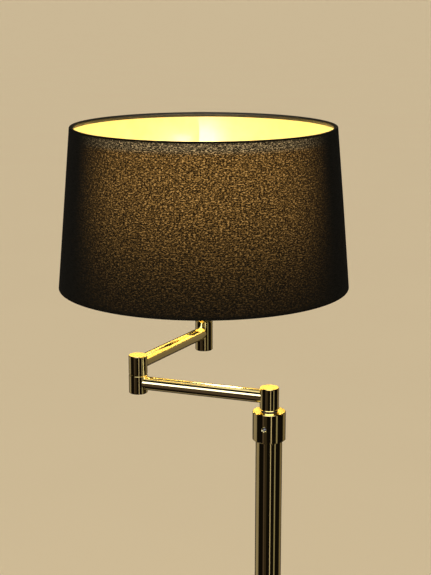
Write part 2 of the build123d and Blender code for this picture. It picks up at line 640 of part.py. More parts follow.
# Lower shell of the lampholder: a small bowl on top of the post.
with BuildPart() as holder_cap:
    with BuildSketch(LAMP_SECTION):
        with BuildLine():
            side = Line((HOLDER_R, HOLDER_CAP_TOP), (HOLDER_R, POST_TOP + 11.0))
            bowl = TangentArc(side @ 1, (PIVOT_R, POST_TOP), tangent=(0, -1))
            Polyline(bowl @ 1, (0, POST_TOP), (0, HOLDER_CAP_TOP), side @ 0)
        make_face()
    revolve(axis=LAMP_AXIS)
    with BuildSketch(LAMP_SECTION):
        with BuildLine():
            side = Line(
                (HOLDER_R - HOLDER_WALL, HOLDER_CAP_TOP), (HOLDER_R - HOLDER_WALL, POST_TOP + 11.0)
            )
            bowl = TangentArc(side @ 1, (PIVOT_R - HOLDER_WALL, LOCK_NUT_BOTTOM), tangent=(0, -1))
            Polyline(bowl @ 1, (0, LOCK_NUT_BOTTOM), (0, HOLDER_CAP_TOP), side @ 0)
        make_face()
    revolve(axis=LAMP_AXIS, mode=Mode.SUBTRACT)
    with BuildSketch(Plane.XY.offset(POST_TOP)):
        with Locations((LAMP.X, LAMP.Y)):
            Circle(NIPPLE_D / 2)
    extrude(amount=HOLDER_FLOOR, mode=Mode.SUBTRACT)
finish(holder_cap, "holder_cap")

# Hexagon lock nut on the nipple, inside the lower shell.
with BuildPart() as nipple_lock_nut:
    with BuildSketch(Plane.XY.offset(LOCK_NUT_BOTTOM)):
        with Locations((LAMP.X, LAMP.Y)):
            RegularPolygon(7.6, 6)
            Circle(NIPPLE_D / 2, mode=Mode.SUBTRACT)
    extrude(amount=LOCK_NUT_H)
finish(nipple_lock_nut, "nipple_lock_nut")

# Threaded sleeve of the lampholder: the two shade rings run on its thread.
THREAD_PITCH = 2.5
THREAD_TURNS = 12
THREAD_DEPTH = 0.6
with BuildPart() as holder_sleeve:
    with BuildSketch(Plane.XY.offset(HOLDER_CAP_TOP)):
        with Locations((LAMP.X, LAMP.Y)):
            Circle(HOLDER_R)
            Circle(HOLDER_R - HOLDER_WALL, mode=Mode.SUBTRACT)
    extrude(amount=SLEEVE_TOP - HOLDER_CAP_TOP)
    for turn in range(THREAD_TURNS):
        with BuildSketch(Plane.XY.offset(SLEEVE_TOP - 3.0 - turn * THREAD_PITCH)):
            with Locations((LAMP.X, LAMP.Y)):
                Circle(HOLDER_R)
                Circle(HOLDER_R - THREAD_DEPTH, mode=Mode.SUBTRACT)
        extrude(amount=THREAD_PITCH / 2.5, mode=Mode.SUBTRACT)
finish(holder_sleeve, "holder_sleeve")

# Porcelain insert with two wire ways.
with BuildPart() as holder_insulator:
    with BuildSketch(Plane.XY.offset(INSULATOR_BOTTOM)):
        with Locations((LAMP.X, LAMP.Y)):
            Circle(HOLDER_R - HOLDER_WALL)
        with Locations((LAMP.X, LAMP.Y + 12.5), (LAMP.X, LAMP.Y - 12.5)):
            Circle(1.8, mode=Mode.SUBTRACT)
        with Locations((LAMP.X + 11.0, LAMP.Y), (LAMP.X - 11.0, LAMP.Y)):
            Circle(1.5, mode=Mode.SUBTRACT)
    extrude(amount=INSULATOR_TOP - INSULATOR_BOTTOM)
finish(holder_insulator, "holder_insulator")

# Two terminal screws under the insert.
with BuildPart() as terminal_screws:
    with BuildSketch(Plane.XY.offset(INSULATOR_BOTTOM)):
        with Locations((LAMP.X + 11.0, LAMP.Y), (LAMP.X - 11.0, LAMP.Y)):
            Circle(1.5)
    extrude(amount=7.0)
    with BuildSketch(Plane.XY.offset(INSULATOR_BOTTOM - 1.8)):
        with Locations((LAMP.X + 11.0, LAMP.Y), (LAMP.X - 11.0, LAMP.Y)):
            Circle(2.8)
    extrude(amount=1.8)
    with BuildSketch(Plane.XY.offset(INSULATOR_BOTTOM - 1.8)):
        with Locations((LAMP.X + 11.0, LAMP.Y), (LAMP.X - 11.0, LAMP.Y)):
            Rectangle(6.0, 0.8)
    extrude(amount=0.9, mode=Mode.SUBTRACT)
finish(terminal_screws, "terminal_screws")

# Brass screw shell that the bulb's cap screws into.
SHELL_R = 14.3
SHELL_WALL = 0.7
SHELL_TOP = SLEEVE_TOP - 8.0
with BuildPart() as screw_shell:
    with BuildSketch(Plane.XY.offset(INSULATOR_TOP)):
        with Locations((LAMP.X, LAMP.Y)):
            Circle(SHELL_R)
    extrude(amount=SHELL_TOP - INSULATOR_TOP)
    with BuildSketch(Plane.XY.offset(INSULATOR_TOP + SHELL_WALL)):
        with Locations((LAMP.X, LAMP.Y)):
            Circle(SHELL_R - SHELL_WALL)
    extrude(amount=SHELL_TOP, mode=Mode.SUBTRACT)
    with BuildSketch(Plane.XY.offset(INSULATOR_TOP)):
        with Locations((LAMP.X, LAMP.Y)):
            Circle(9.0)
    extrude(amount=SHELL_WALL, mode=Mode.SUBTRACT)
finish(screw_shell, "screw_shell")

# Sprung centre contact: a bent brass strip under the bulb's tip.
CONTACT_TOP = INSULATOR_TOP + 3.0
with BuildPart() as centre_contact:
    with BuildSketch(LAMP_SECTION):
        with BuildLine():
            Polyline(
                (-7.5, INSULATOR_TOP),
                (-3.0, INSULATOR_TOP),
                (3.5, CONTACT_TOP - 0.6),
                (6.0, CONTACT_TOP - 0.6),
                (6.0, CONTACT_TOP),
                (3.3, CONTACT_TOP),
                (-3.2, INSULATOR_TOP + 0.6),
                (-7.5, INSULATOR_TOP + 0.6),
                close=True,
            )
        make_face()
    extrude(amount=2.5, both=True)
finish(centre_contact, "centre_contact")

# ---- shade rings, carrier and shade ------------------------------------------------
SHADE_R_BOTTOM = 190.0
SHADE_R_TOP = 172.0
SKIN_T = 1.0
LINING_T = 0.5
LINING_GAP = 0.05
HEM_T = 0.6
HEM_DEPTH = 5.5
WIRE_R = 1.6
TAPER = (SHADE_R_BOTTOM - SHADE_R_TOP) / SHADE_HEIGHT
WIRE_Z = SHADE_BOTTOM + HEM_T + WIRE_R + 0.1
CARRIER_T = 3.0
RING_R = 28.0
RING_H = 5.0
RING_BORE_R = HOLDER_R + RUNNING_FIT
CARRIER_BOTTOM = WIRE_Z - CARRIER_T / 2
INSIDE_R_BOTTOM = SHADE_R_BOTTOM - SKIN_T - LINING_GAP - LINING_T
INSIDE_R_TOP = SHADE_R_TOP - SKIN_T - LINING_GAP - LINING_T
WIRE_RING_R = INSIDE_R_BOTTOM - TAPER * (WIRE_Z - SHADE_BOTTOM) - WIRE_R - 0.3
SPOKES = 3
SPOKE_START = 90.0


def shade_ring(bottom):
    """Profile of one shade ring: a round nut with finger notches."""
    with BuildSketch(Plane.XY.offset(bottom)) as profile:
        with Locations((LAMP.X, LAMP.Y)):
            Circle(RING_R)
            Circle(RING_BORE_R, mode=Mode.SUBTRACT)
            with PolarLocations(RING_R + 0.9, 24):
                Circle(1.8, mode=Mode.SUBTRACT)
    return profile.sketch


# Lower shade ring: the carrier rests on it.
with BuildPart() as shade_ring_lower:
    add(shade_ring(CARRIER_BOTTOM - RING_H))
    extrude(amount=RING_H)
finish(shade_ring_lower, "shade_ring_lower")

# Upper shade ring: screws down on the carrier.
with BuildPart() as shade_ring_upper:
    add(shade_ring(CARRIER_BOTTOM + CARRIER_T))
    extrude(amount=RING_H)
finish(shade_ring_upper, "shade_ring_upper")

# Carrier: centre ring, three spokes and the bottom wire, welded into one piece.
with BuildPart() as shade_carrier:
    with BuildSketch(Plane.XY.offset(CARRIER_BOTTOM)):
        with Locations((LAMP.X, LAMP.Y)):
            Circle(RING_R - 1.0)
            Circle(RING_BORE_R + 0.4, mode=Mode.SUBTRACT)
    extrude(amount=CARRIER_T)
    with Locations((LAMP.X, LAMP.Y, WIRE_Z)):
        Torus(WIRE_RING_R, WIRE_R)
    for spoke in range(SPOKES):
        outward = Vector(1, 0, 0).rotate(Axis.Z, SPOKE_START + spoke * 360 / SPOKES)
        start = Vector(LAMP.X, LAMP.Y, WIRE_Z) + outward * (RING_R - 3.0)
        with BuildSketch(Plane(origin=start, z_dir=outward)):
            Circle(WIRE_R - 0.2)
        extrude(amount=WIRE_RING_R - RING_R + 3.0)
finish(shade_carrier, "shade_carrier")

# Top wire, sewn into the top hem.
TOP_WIRE_Z = SHADE_TOP - HEM_T - WIRE_R - 0.1
TOP_WIRE_R = INSIDE_R_TOP - WIRE_R - 0.3
with BuildPart() as shade_top_wire:
    with Locations((LAMP.X, LAMP.Y, TOP_WIRE_Z)):
        Torus(TOP_WIRE_R, WIRE_R)
finish(shade_top_wire, "shade_top_wire")

# Outer fabric: a tapered drum, open at both ends.
with BuildPart() as shade_fabric:
    with BuildSketch(LAMP_SECTION):
        with BuildLine():
            Polyline(
                (SHADE_R_BOTTOM, SHADE_BOTTOM),
                (SHADE_R_TOP, SHADE_TOP),
                (SHADE_R_TOP - SKIN_T, SHADE_TOP),
                (SHADE_R_BOTTOM - SKIN_T, SHADE_BOTTOM),
                close=True,
            )
        make_face()
    revolve(axis=LAMP_AXIS)
finish(shade_fabric, "shade_fabric")

# Glossy lining, just inside the fabric and a little shorter at each end.
LINING_LOW = SHADE_BOTTOM + HEM_T + 0.1
LINING_HIGH = SHADE_TOP - HEM_T - 0.1
LINING_R_LOW = SHADE_R_BOTTOM - SKIN_T - LINING_GAP - TAPER * (LINING_LOW - SHADE_BOTTOM)
LINING_R_HIGH = SHADE_R_TOP - SKIN_T - LINING_GAP + TAPER * (SHADE_TOP - LINING_HIGH)
with BuildPart() as shade_lining:
    with BuildSketch(LAMP_SECTION):
        with BuildLine():
            Polyline(
                (LINING_R_LOW, LINING_LOW),
                (LINING_R_HIGH, LINING_HIGH),
                (LINING_R_HIGH - LINING_T, LINING_HIGH),
                (LINING_R_LOW - LINING_T, LINING_LOW),
                close=True,
            )
        make_face()
    revolve(axis=LAMP_AXIS)
finish(shade_lining, "shade_lining")

# Top hem: fabric turned in over the top wire and glued down inside.
TOP_HEM_OUT = SHADE_R_TOP - SKIN_T - LINING_GAP
TOP_HEM_IN = TOP_WIRE_R - WIRE_R - 0.15
with BuildPart() as shade_top_hem:
    with BuildSketch(LAMP_SECTION):
        with BuildLine():
            Polyline(
                (TOP_HEM_OUT, SHADE_TOP),
                (TOP_HEM_IN - HEM_T, SHADE_TOP),
                (TOP_HEM_IN - HEM_T, SHADE_TOP - HEM_DEPTH),
                (TOP_HEM_IN, SHADE_TOP - HEM_DEPTH),
                (TOP_HEM_IN, SHADE_TOP - HEM_T),
                (TOP_HEM_OUT, SHADE_TOP - HEM_T),
                close=True,
            )
        make_face()
    revolve(axis=LAMP_AXIS)
finish(shade_top_hem, "shade_top_hem")

# Bottom hem: the same turn round the carrier's wire, notched where spokes pass.
BOTTOM_HEM_OUT = SHADE_R_BOTTOM - SKIN_T - LINING_GAP - TAPER * HEM_T
BOTTOM_HEM_IN = WIRE_RING_R - WIRE_R - 0.15
NOTCH_W = 2 * WIRE_R + 1.0
with BuildPart() as shade_bottom_hem:
    with BuildSketch(LAMP_SECTION):
        with BuildLine():
            Polyline(
                (BOTTOM_HEM_OUT, SHADE_BOTTOM),
                (BOTTOM_HEM_IN - HEM_T, SHADE_BOTTOM),
                (BOTTOM_HEM_IN - HEM_T, SHADE_BOTTOM + HEM_DEPTH),
                (BOTTOM_HEM_IN, SHADE_BOTTOM + HEM_DEPTH),
                (BOTTOM_HEM_IN, SHADE_BOTTOM + HEM_T),
                (BOTTOM_HEM_OUT, SHADE_BOTTOM + HEM_T),
                close=True,
            )
        make_face()
    revolve(axis=LAMP_AXIS)
    with BuildSketch(Plane.XY.offset(SHADE_BOTTOM + HEM_T)):
        with Locations((LAMP.X, LAMP.Y)):
            with PolarLocations(BOTTOM_HEM_IN, SPOKES, start_angle=SPOKE_START):
                Rectangle(6.0, NOTCH_W)
    extrude(amount=HEM_DEPTH, mode=Mode.SUBTRACT)
finish(shade_bottom_hem, "shade_bottom_hem")

# ---- bulb --------------------------------------------------------------------------
TIP_TOP = CONTACT_TOP + 2.0
CAP_BOTTOM = TIP_TOP + 3.0
CAP_R = 13.1
CAP_WALL = 0.5
BULB_CAP_TOP = CAP_BOTTOM + 19.5
NECK_R = 13.9
GLOBE_R = 30.0
BULB_LENGTH = 112.0
GLOBE_Z = CONTACT_TOP + BULB_LENGTH - GLOBE_R
GLOBE_CUT = GLOBE_Z - 18.0
GLOBE_CUT_R = (GLOBE_R**2 - (GLOBE_Z - GLOBE_CUT) ** 2) ** 0.5
GLASS_T = 1.0

# Solder tip in the middle of the cap's black glass button.
with BuildPart() as bulb_tip:
    with BuildSketch(LAMP_SECTION):
        with BuildLine():
            tip = Line((0, CONTACT_TOP), (2.4, CONTACT_TOP))
            side = TangentArc(tip @ 1, (4.6, TIP_TOP), tangent=(1, 0.1))
            Polyline(side @ 1, (0, TIP_TOP), (0, CONTACT_TOP))
        make_face()
    revolve(axis=LAMP_AXIS)
finish(bulb_tip, "bulb_tip")

# Insulating button between tip and screw cap.
with BuildPart() as bulb_button:
    with BuildSketch(LAMP_SECTION):
        with BuildLine():
            Polyline((0, TIP_TOP), (5.2, TIP_TOP), (CAP_R - 1.6, CAP_BOTTOM), (0, CAP_BOTTOM), close=True)
        make_face()
    revolve(axis=LAMP_AXIS)
finish(bulb_button, "bulb_button")

# Screw cap with its rolled thread.
ROLL_PITCH = 3.6
ROLL_TURNS = 4
with BuildPart() as bulb_cap:
    with BuildSketch(Plane.XY.offset(CAP_BOTTOM)):
        with Locations((LAMP.X, LAMP.Y)):
            Circle(CAP_R - 0.9)
    extrude(amount=BULB_CAP_TOP - CAP_BOTTOM)
    for turn in range(ROLL_TURNS):
        with Locations((LAMP.X, LAMP.Y, CAP_BOTTOM + 2.6 + turn * ROLL_PITCH)):
            Torus(CAP_R - 1.5, 1.5)
    with BuildSketch(Plane.XY.offset(CAP_BOTTOM)):
        with Locations((LAMP.X, LAMP.Y)):
            Circle(CAP_R - 0.9 - CAP_WALL - 1.8)
    extrude(amount=BULB_CAP_TOP, mode=Mode.SUBTRACT)
finish(bulb_cap, "bulb_cap")

# White plastic body of the bulb, flaring from the cap to the globe.
with BuildPart() as bulb_body:
    with BuildSketch(LAMP_SECTION):
        with BuildLine():
            foot = Line((0, BULB_CAP_TOP), (NECK_R, BULB_CAP_TOP))
            neck = Line(foot @ 1, (NECK_R, BULB_CAP_TOP + 4.0))
            flare = TangentArc(neck @ 1, (GLOBE_CUT_R, GLOBE_CUT), tangent=(0, 1))
            Polyline(flare @ 1, (0, GLOBE_CUT), (0, BULB_CAP_TOP))
        make_face()
    revolve(axis=LAMP_AXIS)
finish(bulb_body, "bulb_body")

# Opal globe: a glass shell that sits on the body.
with BuildPart() as bulb_globe:
    with Locations((LAMP.X, LAMP.Y, GLOBE_Z)):
        Sphere(GLOBE_R)
        Sphere(GLOBE_R - GLASS_T, mode=Mode.SUBTRACT)
    split(bisect_by=Plane.XY.offset(GLOBE_CUT), keep=Keep.TOP)
finish(bulb_globe, "bulb_globe")
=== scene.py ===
"""Looks of a lit swing-arm floor lamp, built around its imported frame.

Metres, +Z up, the lamp seen from its front along +Y. The frame gives every place
and size; this file adds the cloth, the lining, the turned hems, the threads, the
felt, every finish, and a plain studio.
"""

import logging
import math
from collections.abc import Callable
from dataclasses import dataclass, field
from enum import Enum
from functools import reduce
from typing import Union

import bpy
import numpy as np
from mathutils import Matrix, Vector

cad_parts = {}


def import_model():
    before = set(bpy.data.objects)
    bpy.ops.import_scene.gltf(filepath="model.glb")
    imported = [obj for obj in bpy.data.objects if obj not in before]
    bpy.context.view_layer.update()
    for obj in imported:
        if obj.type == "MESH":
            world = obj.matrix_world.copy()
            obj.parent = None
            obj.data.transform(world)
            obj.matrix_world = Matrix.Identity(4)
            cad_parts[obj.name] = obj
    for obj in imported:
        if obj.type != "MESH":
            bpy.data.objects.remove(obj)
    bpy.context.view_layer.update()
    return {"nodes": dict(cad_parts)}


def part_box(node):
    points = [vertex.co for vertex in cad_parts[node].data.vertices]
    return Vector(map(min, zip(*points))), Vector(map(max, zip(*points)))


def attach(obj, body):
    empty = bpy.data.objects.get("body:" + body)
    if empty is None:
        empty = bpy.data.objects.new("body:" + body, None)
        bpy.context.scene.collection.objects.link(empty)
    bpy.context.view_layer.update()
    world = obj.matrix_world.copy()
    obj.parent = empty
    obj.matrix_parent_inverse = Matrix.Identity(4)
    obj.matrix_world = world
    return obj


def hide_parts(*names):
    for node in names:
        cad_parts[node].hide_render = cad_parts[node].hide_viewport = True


LOG = logging.getLogger("floor_lamp")
MM = 0.001

Socket = bpy.types.NodeSocket
Feed = Union[bpy.types.NodeSocket, float, tuple]
Colour = tuple[float, float, float]


# ---- node work ---------------------------------------------------------------------


class Wiring:
    """Short-hand for adding and joining the nodes of one tree."""

    def __init__(self, tree: bpy.types.NodeTree) -> None:
        """Keeps the tree that the nodes go into.

        Args:
            tree: a material's, a world's or a group's node tree.
        """
        self.tree = tree

    def add(self, kind: str, feeds: dict | None = None, **settings: object) -> bpy.types.Node:
        """Adds one shader node.

        Args:
            kind: the node's type without its ShaderNode prefix.
            feeds: a value or a socket for each input, by name or number.
            **settings: the node's own properties.

        Returns:
            The new node.
        """
        node = self.tree.nodes.new("ShaderNode" + kind)
        for key, value in settings.items():
            setattr(node, key, value)
        for key, value in (feeds or {}).items():
            self.feed(node.inputs[key], value)
        return node

    def feed(self, socket: Socket, value: Feed) -> None:
        """Links a socket into an input, or sets the input's own value."""
        if isinstance(value, bpy.types.NodeSocket):
            self.tree.links.new(value, socket)
        else:
            socket.default_value = value

    def math(self, operation: str, *values: Feed) -> Socket:
        """Returns the result of one Math node."""
        return self.add("Math", dict(enumerate(values)), operation=operation).outputs[0]

    def vector(self, operation: str, *values: Feed) -> Socket:
        """Returns the vector result of one Vector Math node."""
        return self.add("VectorMath", dict(enumerate(values)), operation=operation).outputs[0]

    def split(self, vector: Socket) -> tuple[Socket, Socket, Socket]:
        """Returns the three parts of a vector."""
        node = self.add("SeparateXYZ", {0: vector})
        return node.outputs[0], node.outputs[1], node.outputs[2]

    def join(self, x: Feed, y: Feed, z: Feed) -> Socket:
        """Returns a vector made of three values."""
        return self.add("CombineXYZ", {0: x, 1: y, 2: z}).outputs[0]

    def fade(self, value: Feed, start: float, end: float, low: float = 0.0, high: float = 1.0) -> Socket:
        """Returns a soft step.

        Args:
            value: what is tested.
            start: where the step begins; it may lie above end.
            end: where the step is complete.
            low: the result before start.
            high: the result past end.
        """
        flip = start > end
        feeds = {
            "Value": value,
            "From Min": end if flip else start,
            "From Max": start if flip else end,
            "To Min": high if flip else low,
            "To Max": low if flip else high,
        }
        return self.add("MapRange", feeds, interpolation_type="SMOOTHSTEP").outputs["Result"]

    def noise(self, vector: Feed, scale: float = 1.0, detail: float = 2.0, rough: float = 0.5) -> Socket:
        """Returns the value of a Noise texture, around 0.5."""
        feeds = {"Vector": vector, "Scale": scale, "Detail": detail, "Roughness": rough}
        return self.add("TexNoise", feeds).outputs[0]

    def mix(self, factor: Feed, first: Feed, second: Feed) -> Socket:
        """Returns a blend of two colours."""
        ends = [c if isinstance(c, bpy.types.NodeSocket) else (*c, 1.0) for c in (first, second)]
        feeds = {0: factor, 6: ends[0], 7: ends[1]}
        return self.add("Mix", feeds, data_type="RGBA").outputs[2]

    def times(self, *values: Feed) -> Socket:
        """Returns the product of its values, multiplied in order."""
        return reduce(lambda first, second: self.math("MULTIPLY", first, second), values)

    def dot(self, first: Feed, second: Feed) -> Socket:
        """Returns the dot product of two vectors."""
        return self.add("VectorMath", {0: first, 1: second}, operation="DOT_PRODUCT").outputs["Value"]

    def scale(self, vector: Feed, amount: Feed) -> Socket:
        """Returns a vector made longer, or a colour made brighter, by an amount."""
        node = self.add("VectorMath", {0: vector}, operation="SCALE")
        self.feed(node.inputs["Scale"], amount)
        return node.outputs[0]

    def relief(self, shader: bpy.types.Node, height: Socket, strength: float, distance: float) -> None:
        """Gives a shader fine relief from a height."""
        bump = self.add("Bump", {"Strength": strength, "Distance": distance, "Height": height})
        self.feed(shader.inputs["Normal"], bump.outputs[0])


@dataclass(frozen=True)
class Effect:
    """A shader node group that several finishes share.

    Attributes:
        name: the group's name.
        takes: each input's name and usual value, a vector or a number.
        gives: each output's name; all are numbers.
        fill: builds the nodes from the inputs and returns the outputs by name.
    """

    name: str
    takes: dict[str, tuple | float]
    gives: tuple[str, ...]
    fill: Callable[[Wiring, dict[str, Socket]], dict[str, Socket]]

    def group(self) -> bpy.types.NodeTree:
        """Builds the node group the first time, and returns it."""
        made = bpy.data.node_groups.get(self.name)
        if made is not None:
            return made
        made = bpy.data.node_groups.new(self.name, "ShaderNodeTree")
        for name, usual in self.takes.items():
            kind = "NodeSocketVector" if isinstance(usual, tuple) else "NodeSocketFloat"
            socket = made.interface.new_socket(name=name, in_out="INPUT", socket_type=kind)
            socket.default_value = usual
        for name in self.gives:
            made.interface.new_socket(name=name, in_out="OUTPUT", socket_type="NodeSocketFloat")
        source = made.nodes.new("NodeGroupInput")
        sink = made.nodes.new("NodeGroupOutput")
        given = {s.name: s for s in source.outputs if s.name}
        for name, value in self.fill(Wiring(made), given).items():
            made.links.new(value, sink.inputs[name])
        return made

    def place(self, wires: Wiring, feeds: dict[str, Feed]) -> dict[str, Socket]:
        """Puts the group into a material.

        Args:
            wires: the material's nodes.
            feeds: a value or a socket for each of the group's inputs.

        Returns:
            The group's outputs by name.
        """
        node = wires.add("Group", node_tree=self.group())
        for name, value in feeds.items():
            wires.feed(node.inputs[name], value)
        return {s.name: s for s in node.outputs}


def fill_weave(wires: Wiring, given: dict[str, Socket]) -> dict[str, Socket]:
    """Plain weave with slubs: thread relief, tone, and the painted light that shows bright at flecks and
    gaps.
    """
    u, v, _ = wires.split(given["Place"])

    def stretched(across: float, along: float, layer: float) -> Socket:
        """Returns the cloth's coordinates with a scale of their own each way."""
        return wires.join(wires.times(u, across), wires.times(v, along), layer)

    drift = wires.times(wires.noise(wires.join(u, v, 0.0), 160.0, 2.0), 2.4)
    across = wires.math("ADD", wires.math("DIVIDE", u, given["Pitch"]), drift)
    along = wires.math("ADD", wires.math("DIVIDE", v, given["Pitch"]), drift)
    warp = wires.math("SINE", wires.times(across, math.pi))
    weft = wires.math("SINE", wires.times(along, math.pi))
    over = wires.fade(wires.times(warp, weft), -0.15, 0.15)
    warp_crest, weft_crest = wires.math("ABSOLUTE", warp), wires.math("ABSOLUTE", weft)
    crest = wires.add("Mix", {0: over, 2: weft_crest, 3: warp_crest}, data_type="FLOAT").outputs[0]
    slub = wires.noise(stretched(95.0, 900.0, 0.0))
    fleck = wires.fade(wires.noise(stretched(350.0, 620.0, 3.0), 1.0, 1.0), 0.53, 0.69)
    level = wires.math("SUBTRACT", wires.noise(stretched(290.0, 450.0, 9.0), 1.0, 1.0), 0.52)
    worm = wires.fade(wires.math("ABSOLUTE", level), 0.035, 0.0)
    bright = wires.math("MAXIMUM", fleck, wires.times(worm, 0.8))
    clear = [wires.math("SUBTRACT", 1.0, thread) for thread in (warp_crest, weft_crest)]
    through = wires.times(bright, wires.math("MULTIPLY_ADD", crest, 0.75, 0.5), given["Contrast"])
    speck = wires.math("MULTIPLY_ADD", wires.times(*clear), 0.3, through)
    uneven = wires.math("MULTIPLY_ADD", wires.math("SUBTRACT", slub, 0.5), 0.7, 1.0)
    light = wires.times(wires.math("ADD", speck, 0.06), uneven)
    height = wires.math("MULTIPLY_ADD", slub, 0.45, wires.times(crest, 0.7))
    return {"Height": height, "Light": light, "Fleck": bright, "Tone": slub}


def fill_marks(wires: Wiring, given: dict[str, Socket]) -> dict[str, Socket]:
    """Fine lines that a lathe or a drawing die leaves, and cloudy smudges."""
    fine = wires.noise(wires.vector("MULTIPLY", given["Place"], (9000.0,) * 3), 1.0, 1.0)
    broad = wires.noise(wires.vector("MULTIPLY", given["Place"], (1300.0,) * 3), 1.0, 2.0)
    lines = wires.math("MULTIPLY_ADD", fine, 0.45, wires.times(broad, 0.55))
    cloud = wires.fade(wires.noise(given["Surface"], 38.0, 3.0, 0.6), 0.45, 0.72)
    return {"Lines": lines, "Smudge": cloud}


def fill_wear(wires: Wiring, given: dict[str, Socket]) -> dict[str, Socket]:
    """Where edges are rubbed bright: near a corner, broken up by noise."""
    geometry = wires.add("NewGeometry")
    bevel = wires.add("Bevel", samples=4)
    wires.feed(bevel.inputs["Radius"], given["Reach"])
    corner = wires.fade(wires.dot(bevel.outputs[0], geometry.outputs["Normal"]), 0.995, 0.9)
    broken = wires.fade(wires.noise(given["Surface"], 260.0, 3.0), 0.35, 0.65)
    return {"Mask": wires.times(corner, broken)}


def fill_dust(wires: Wiring, given: dict[str, Socket]) -> dict[str, Socket]:
    """Thin dust on faces that look up."""
    _, _, up = wires.split(wires.add("NewGeometry").outputs["Normal"])
    speckle = wires.fade(wires.noise(given["Surface"], 420.0, 4.0, 0.7), 0.42, 0.7)
    return {"Mask": wires.times(wires.fade(up, 0.35, 0.95), speckle, given["Amount"])}


def fill_grain(wires: Wiring, given: dict[str, Socket]) -> dict[str, Socket]:
    """Even, fine surface texture with a slower change of tone."""
    scaled = wires.scale(given["Surface"], given["Scale"])
    height = wires.noise(scaled, 1.0, 3.0, 0.6)
    return {"Height": height, "Tone": wires.noise(scaled, 0.13, 3.0, 0.55)}


def fill_glow(wires: Wiring, given: dict[str, Socket]) -> dict[str, Socket]:
    """A made-up fall-off up the shade's wall, strongest above the bulb's middle."""
    _, _, height = wires.split(given["Surface"])
    rise = wires.math("SUBTRACT", height, given["Bulb Height"])
    wall = given["Wall Radius"]
    squares = [wires.math("POWER", side, 2.0) for side in (rise, wall)]
    reach = wires.math("SQRT", wires.math("ADD", *squares))
    upward = wires.math("MULTIPLY_ADD", wires.math("DIVIDE", rise, reach), 0.5, 0.5)
    lobe = wires.math("POWER", upward, given["Throw"])
    return {"Light": wires.times(lobe, wires.math("POWER", wires.math("DIVIDE", wall, reach), 3.0))}


ORIGIN = (0.0, 0.0, 0.0)
WEAVE = Effect(
    "weave",
    {"Place": ORIGIN, "Pitch": 0.001, "Contrast": 1.0},
    ("Height", "Light", "Fleck", "Tone"),
    fill_weave,
)
MARKS = Effect("polish_marks", {"Place": ORIGIN, "Surface": ORIGIN}, ("Lines", "Smudge"), fill_marks)
WEAR = Effect("edge_wear", {"Surface": ORIGIN, "Reach": 0.0005}, ("Mask",), fill_wear)
DUST = Effect("dust", {"Surface": ORIGIN, "Amount": 0.2}, ("Mask",), fill_dust)
GRAIN = Effect("grain", {"Surface": ORIGIN, "Scale": 800.0}, ("Height", "Tone"), fill_grain)
GLOW = Effect(
    "bulb_glow",
    {"Surface": ORIGIN, "Bulb Height": 1.25, "Wall Radius": 0.18, "Throw": 3.8},
    ("Light",),
    fill_glow,
)


# ---- finishes ----------------------------------------------------------------------


class Making(Enum):
    """How a brass piece was made, which sets the run of its polishing lines."""

    TURNED = "turned"
    DRAWN = "drawn"


def new_material(name: str) -> tuple[bpy.types.Material, Wiring, bpy.types.Node, Socket]:
    """Starts a material.

    Args:
        name: the material's name.

    Returns:
        The material, its nodes, its Principled BSDF and the piece's own coordinates.
    """
    material = bpy.data.materials.new(name)
    material.use_nodes = True
    material.node_tree.nodes.clear()
    wires = Wiring(material.node_tree)
    shader = wires.add("BsdfPrincipled")
    output = wires.add("OutputMaterial")
    wires.feed(output.inputs["Surface"], shader.outputs[0])
    surface = wires.add("TexCoord").outputs["Object"]
    return material, wires, shader, surface


def set_constants(shader: bpy.types.Node, **values: Feed) -> None:
    """Sets inputs that are the same all over, by name with underscores for spaces."""
    for name, value in values.items():
        shader.inputs[name.replace("_", " ").title().replace("Ior", "IOR")].default_value = value


@dataclass(frozen=True)
class Brass:
    """Polished, lacquered brass.

    Attributes:
        name: the material's name.
        making: turned on a lathe or drawn through a die.
        centre: a point on the piece's own axis.
        run: the axis direction of a drawn tube.
        polish: the lowest roughness.
        tone: the bright metal.
        shade: the metal where it is smudged.
    """

    name: str
    making: Making
    centre: Vector
    run: Vector
    polish: float = 0.055
    tone: Colour = (0.93, 0.82, 0.43)
    shade: Colour = (0.84, 0.68, 0.31)

    def material(self) -> bpy.types.Material:
        """Builds the brass and returns it."""
        material, wires, shader, surface = new_material(self.name)
        here = wires.vector("SUBTRACT", surface, tuple(self.centre))
        if self.making is Making.TURNED:
            x, y, z = wires.split(here)
            squares = [wires.math("POWER", side, 2.0) for side in (x, y)]
            place = wires.join(wires.math("SQRT", wires.math("ADD", *squares)), z, 0.0)
        else:
            run = tuple(self.run)
            lengthways = wires.scale(run, wires.times(wires.dot(here, run), 0.985))
            place = wires.vector("SUBTRACT", here, lengthways)
        marks = MARKS.place(wires, {"Place": place, "Surface": surface})
        wear = WEAR.place(wires, {"Surface": surface, "Reach": 0.0004})["Mask"]
        dust = DUST.place(wires, {"Surface": surface, "Amount": 0.10})["Mask"]
        metal = wires.mix(wires.times(marks["Smudge"], 0.25), self.tone, self.shade)
        rubbed = wires.mix(wires.times(wear, 0.5), metal, (0.97, 0.86, 0.62))
        wires.feed(shader.inputs["Base Color"], wires.mix(dust, rubbed, (0.55, 0.50, 0.42)))
        rough = wires.math("MULTIPLY_ADD", marks["Lines"], 0.035, self.polish)
        rough = wires.math("MULTIPLY_ADD", marks["Smudge"], 0.03, rough)
        wires.feed(shader.inputs["Roughness"], wires.math("MULTIPLY_ADD", dust, 0.5, rough))
        wires.relief(shader, marks["Lines"], 0.06, 0.00002)
        set_constants(shader, metallic=1.0, coat_weight=0.12, coat_roughness=0.03)
        return material


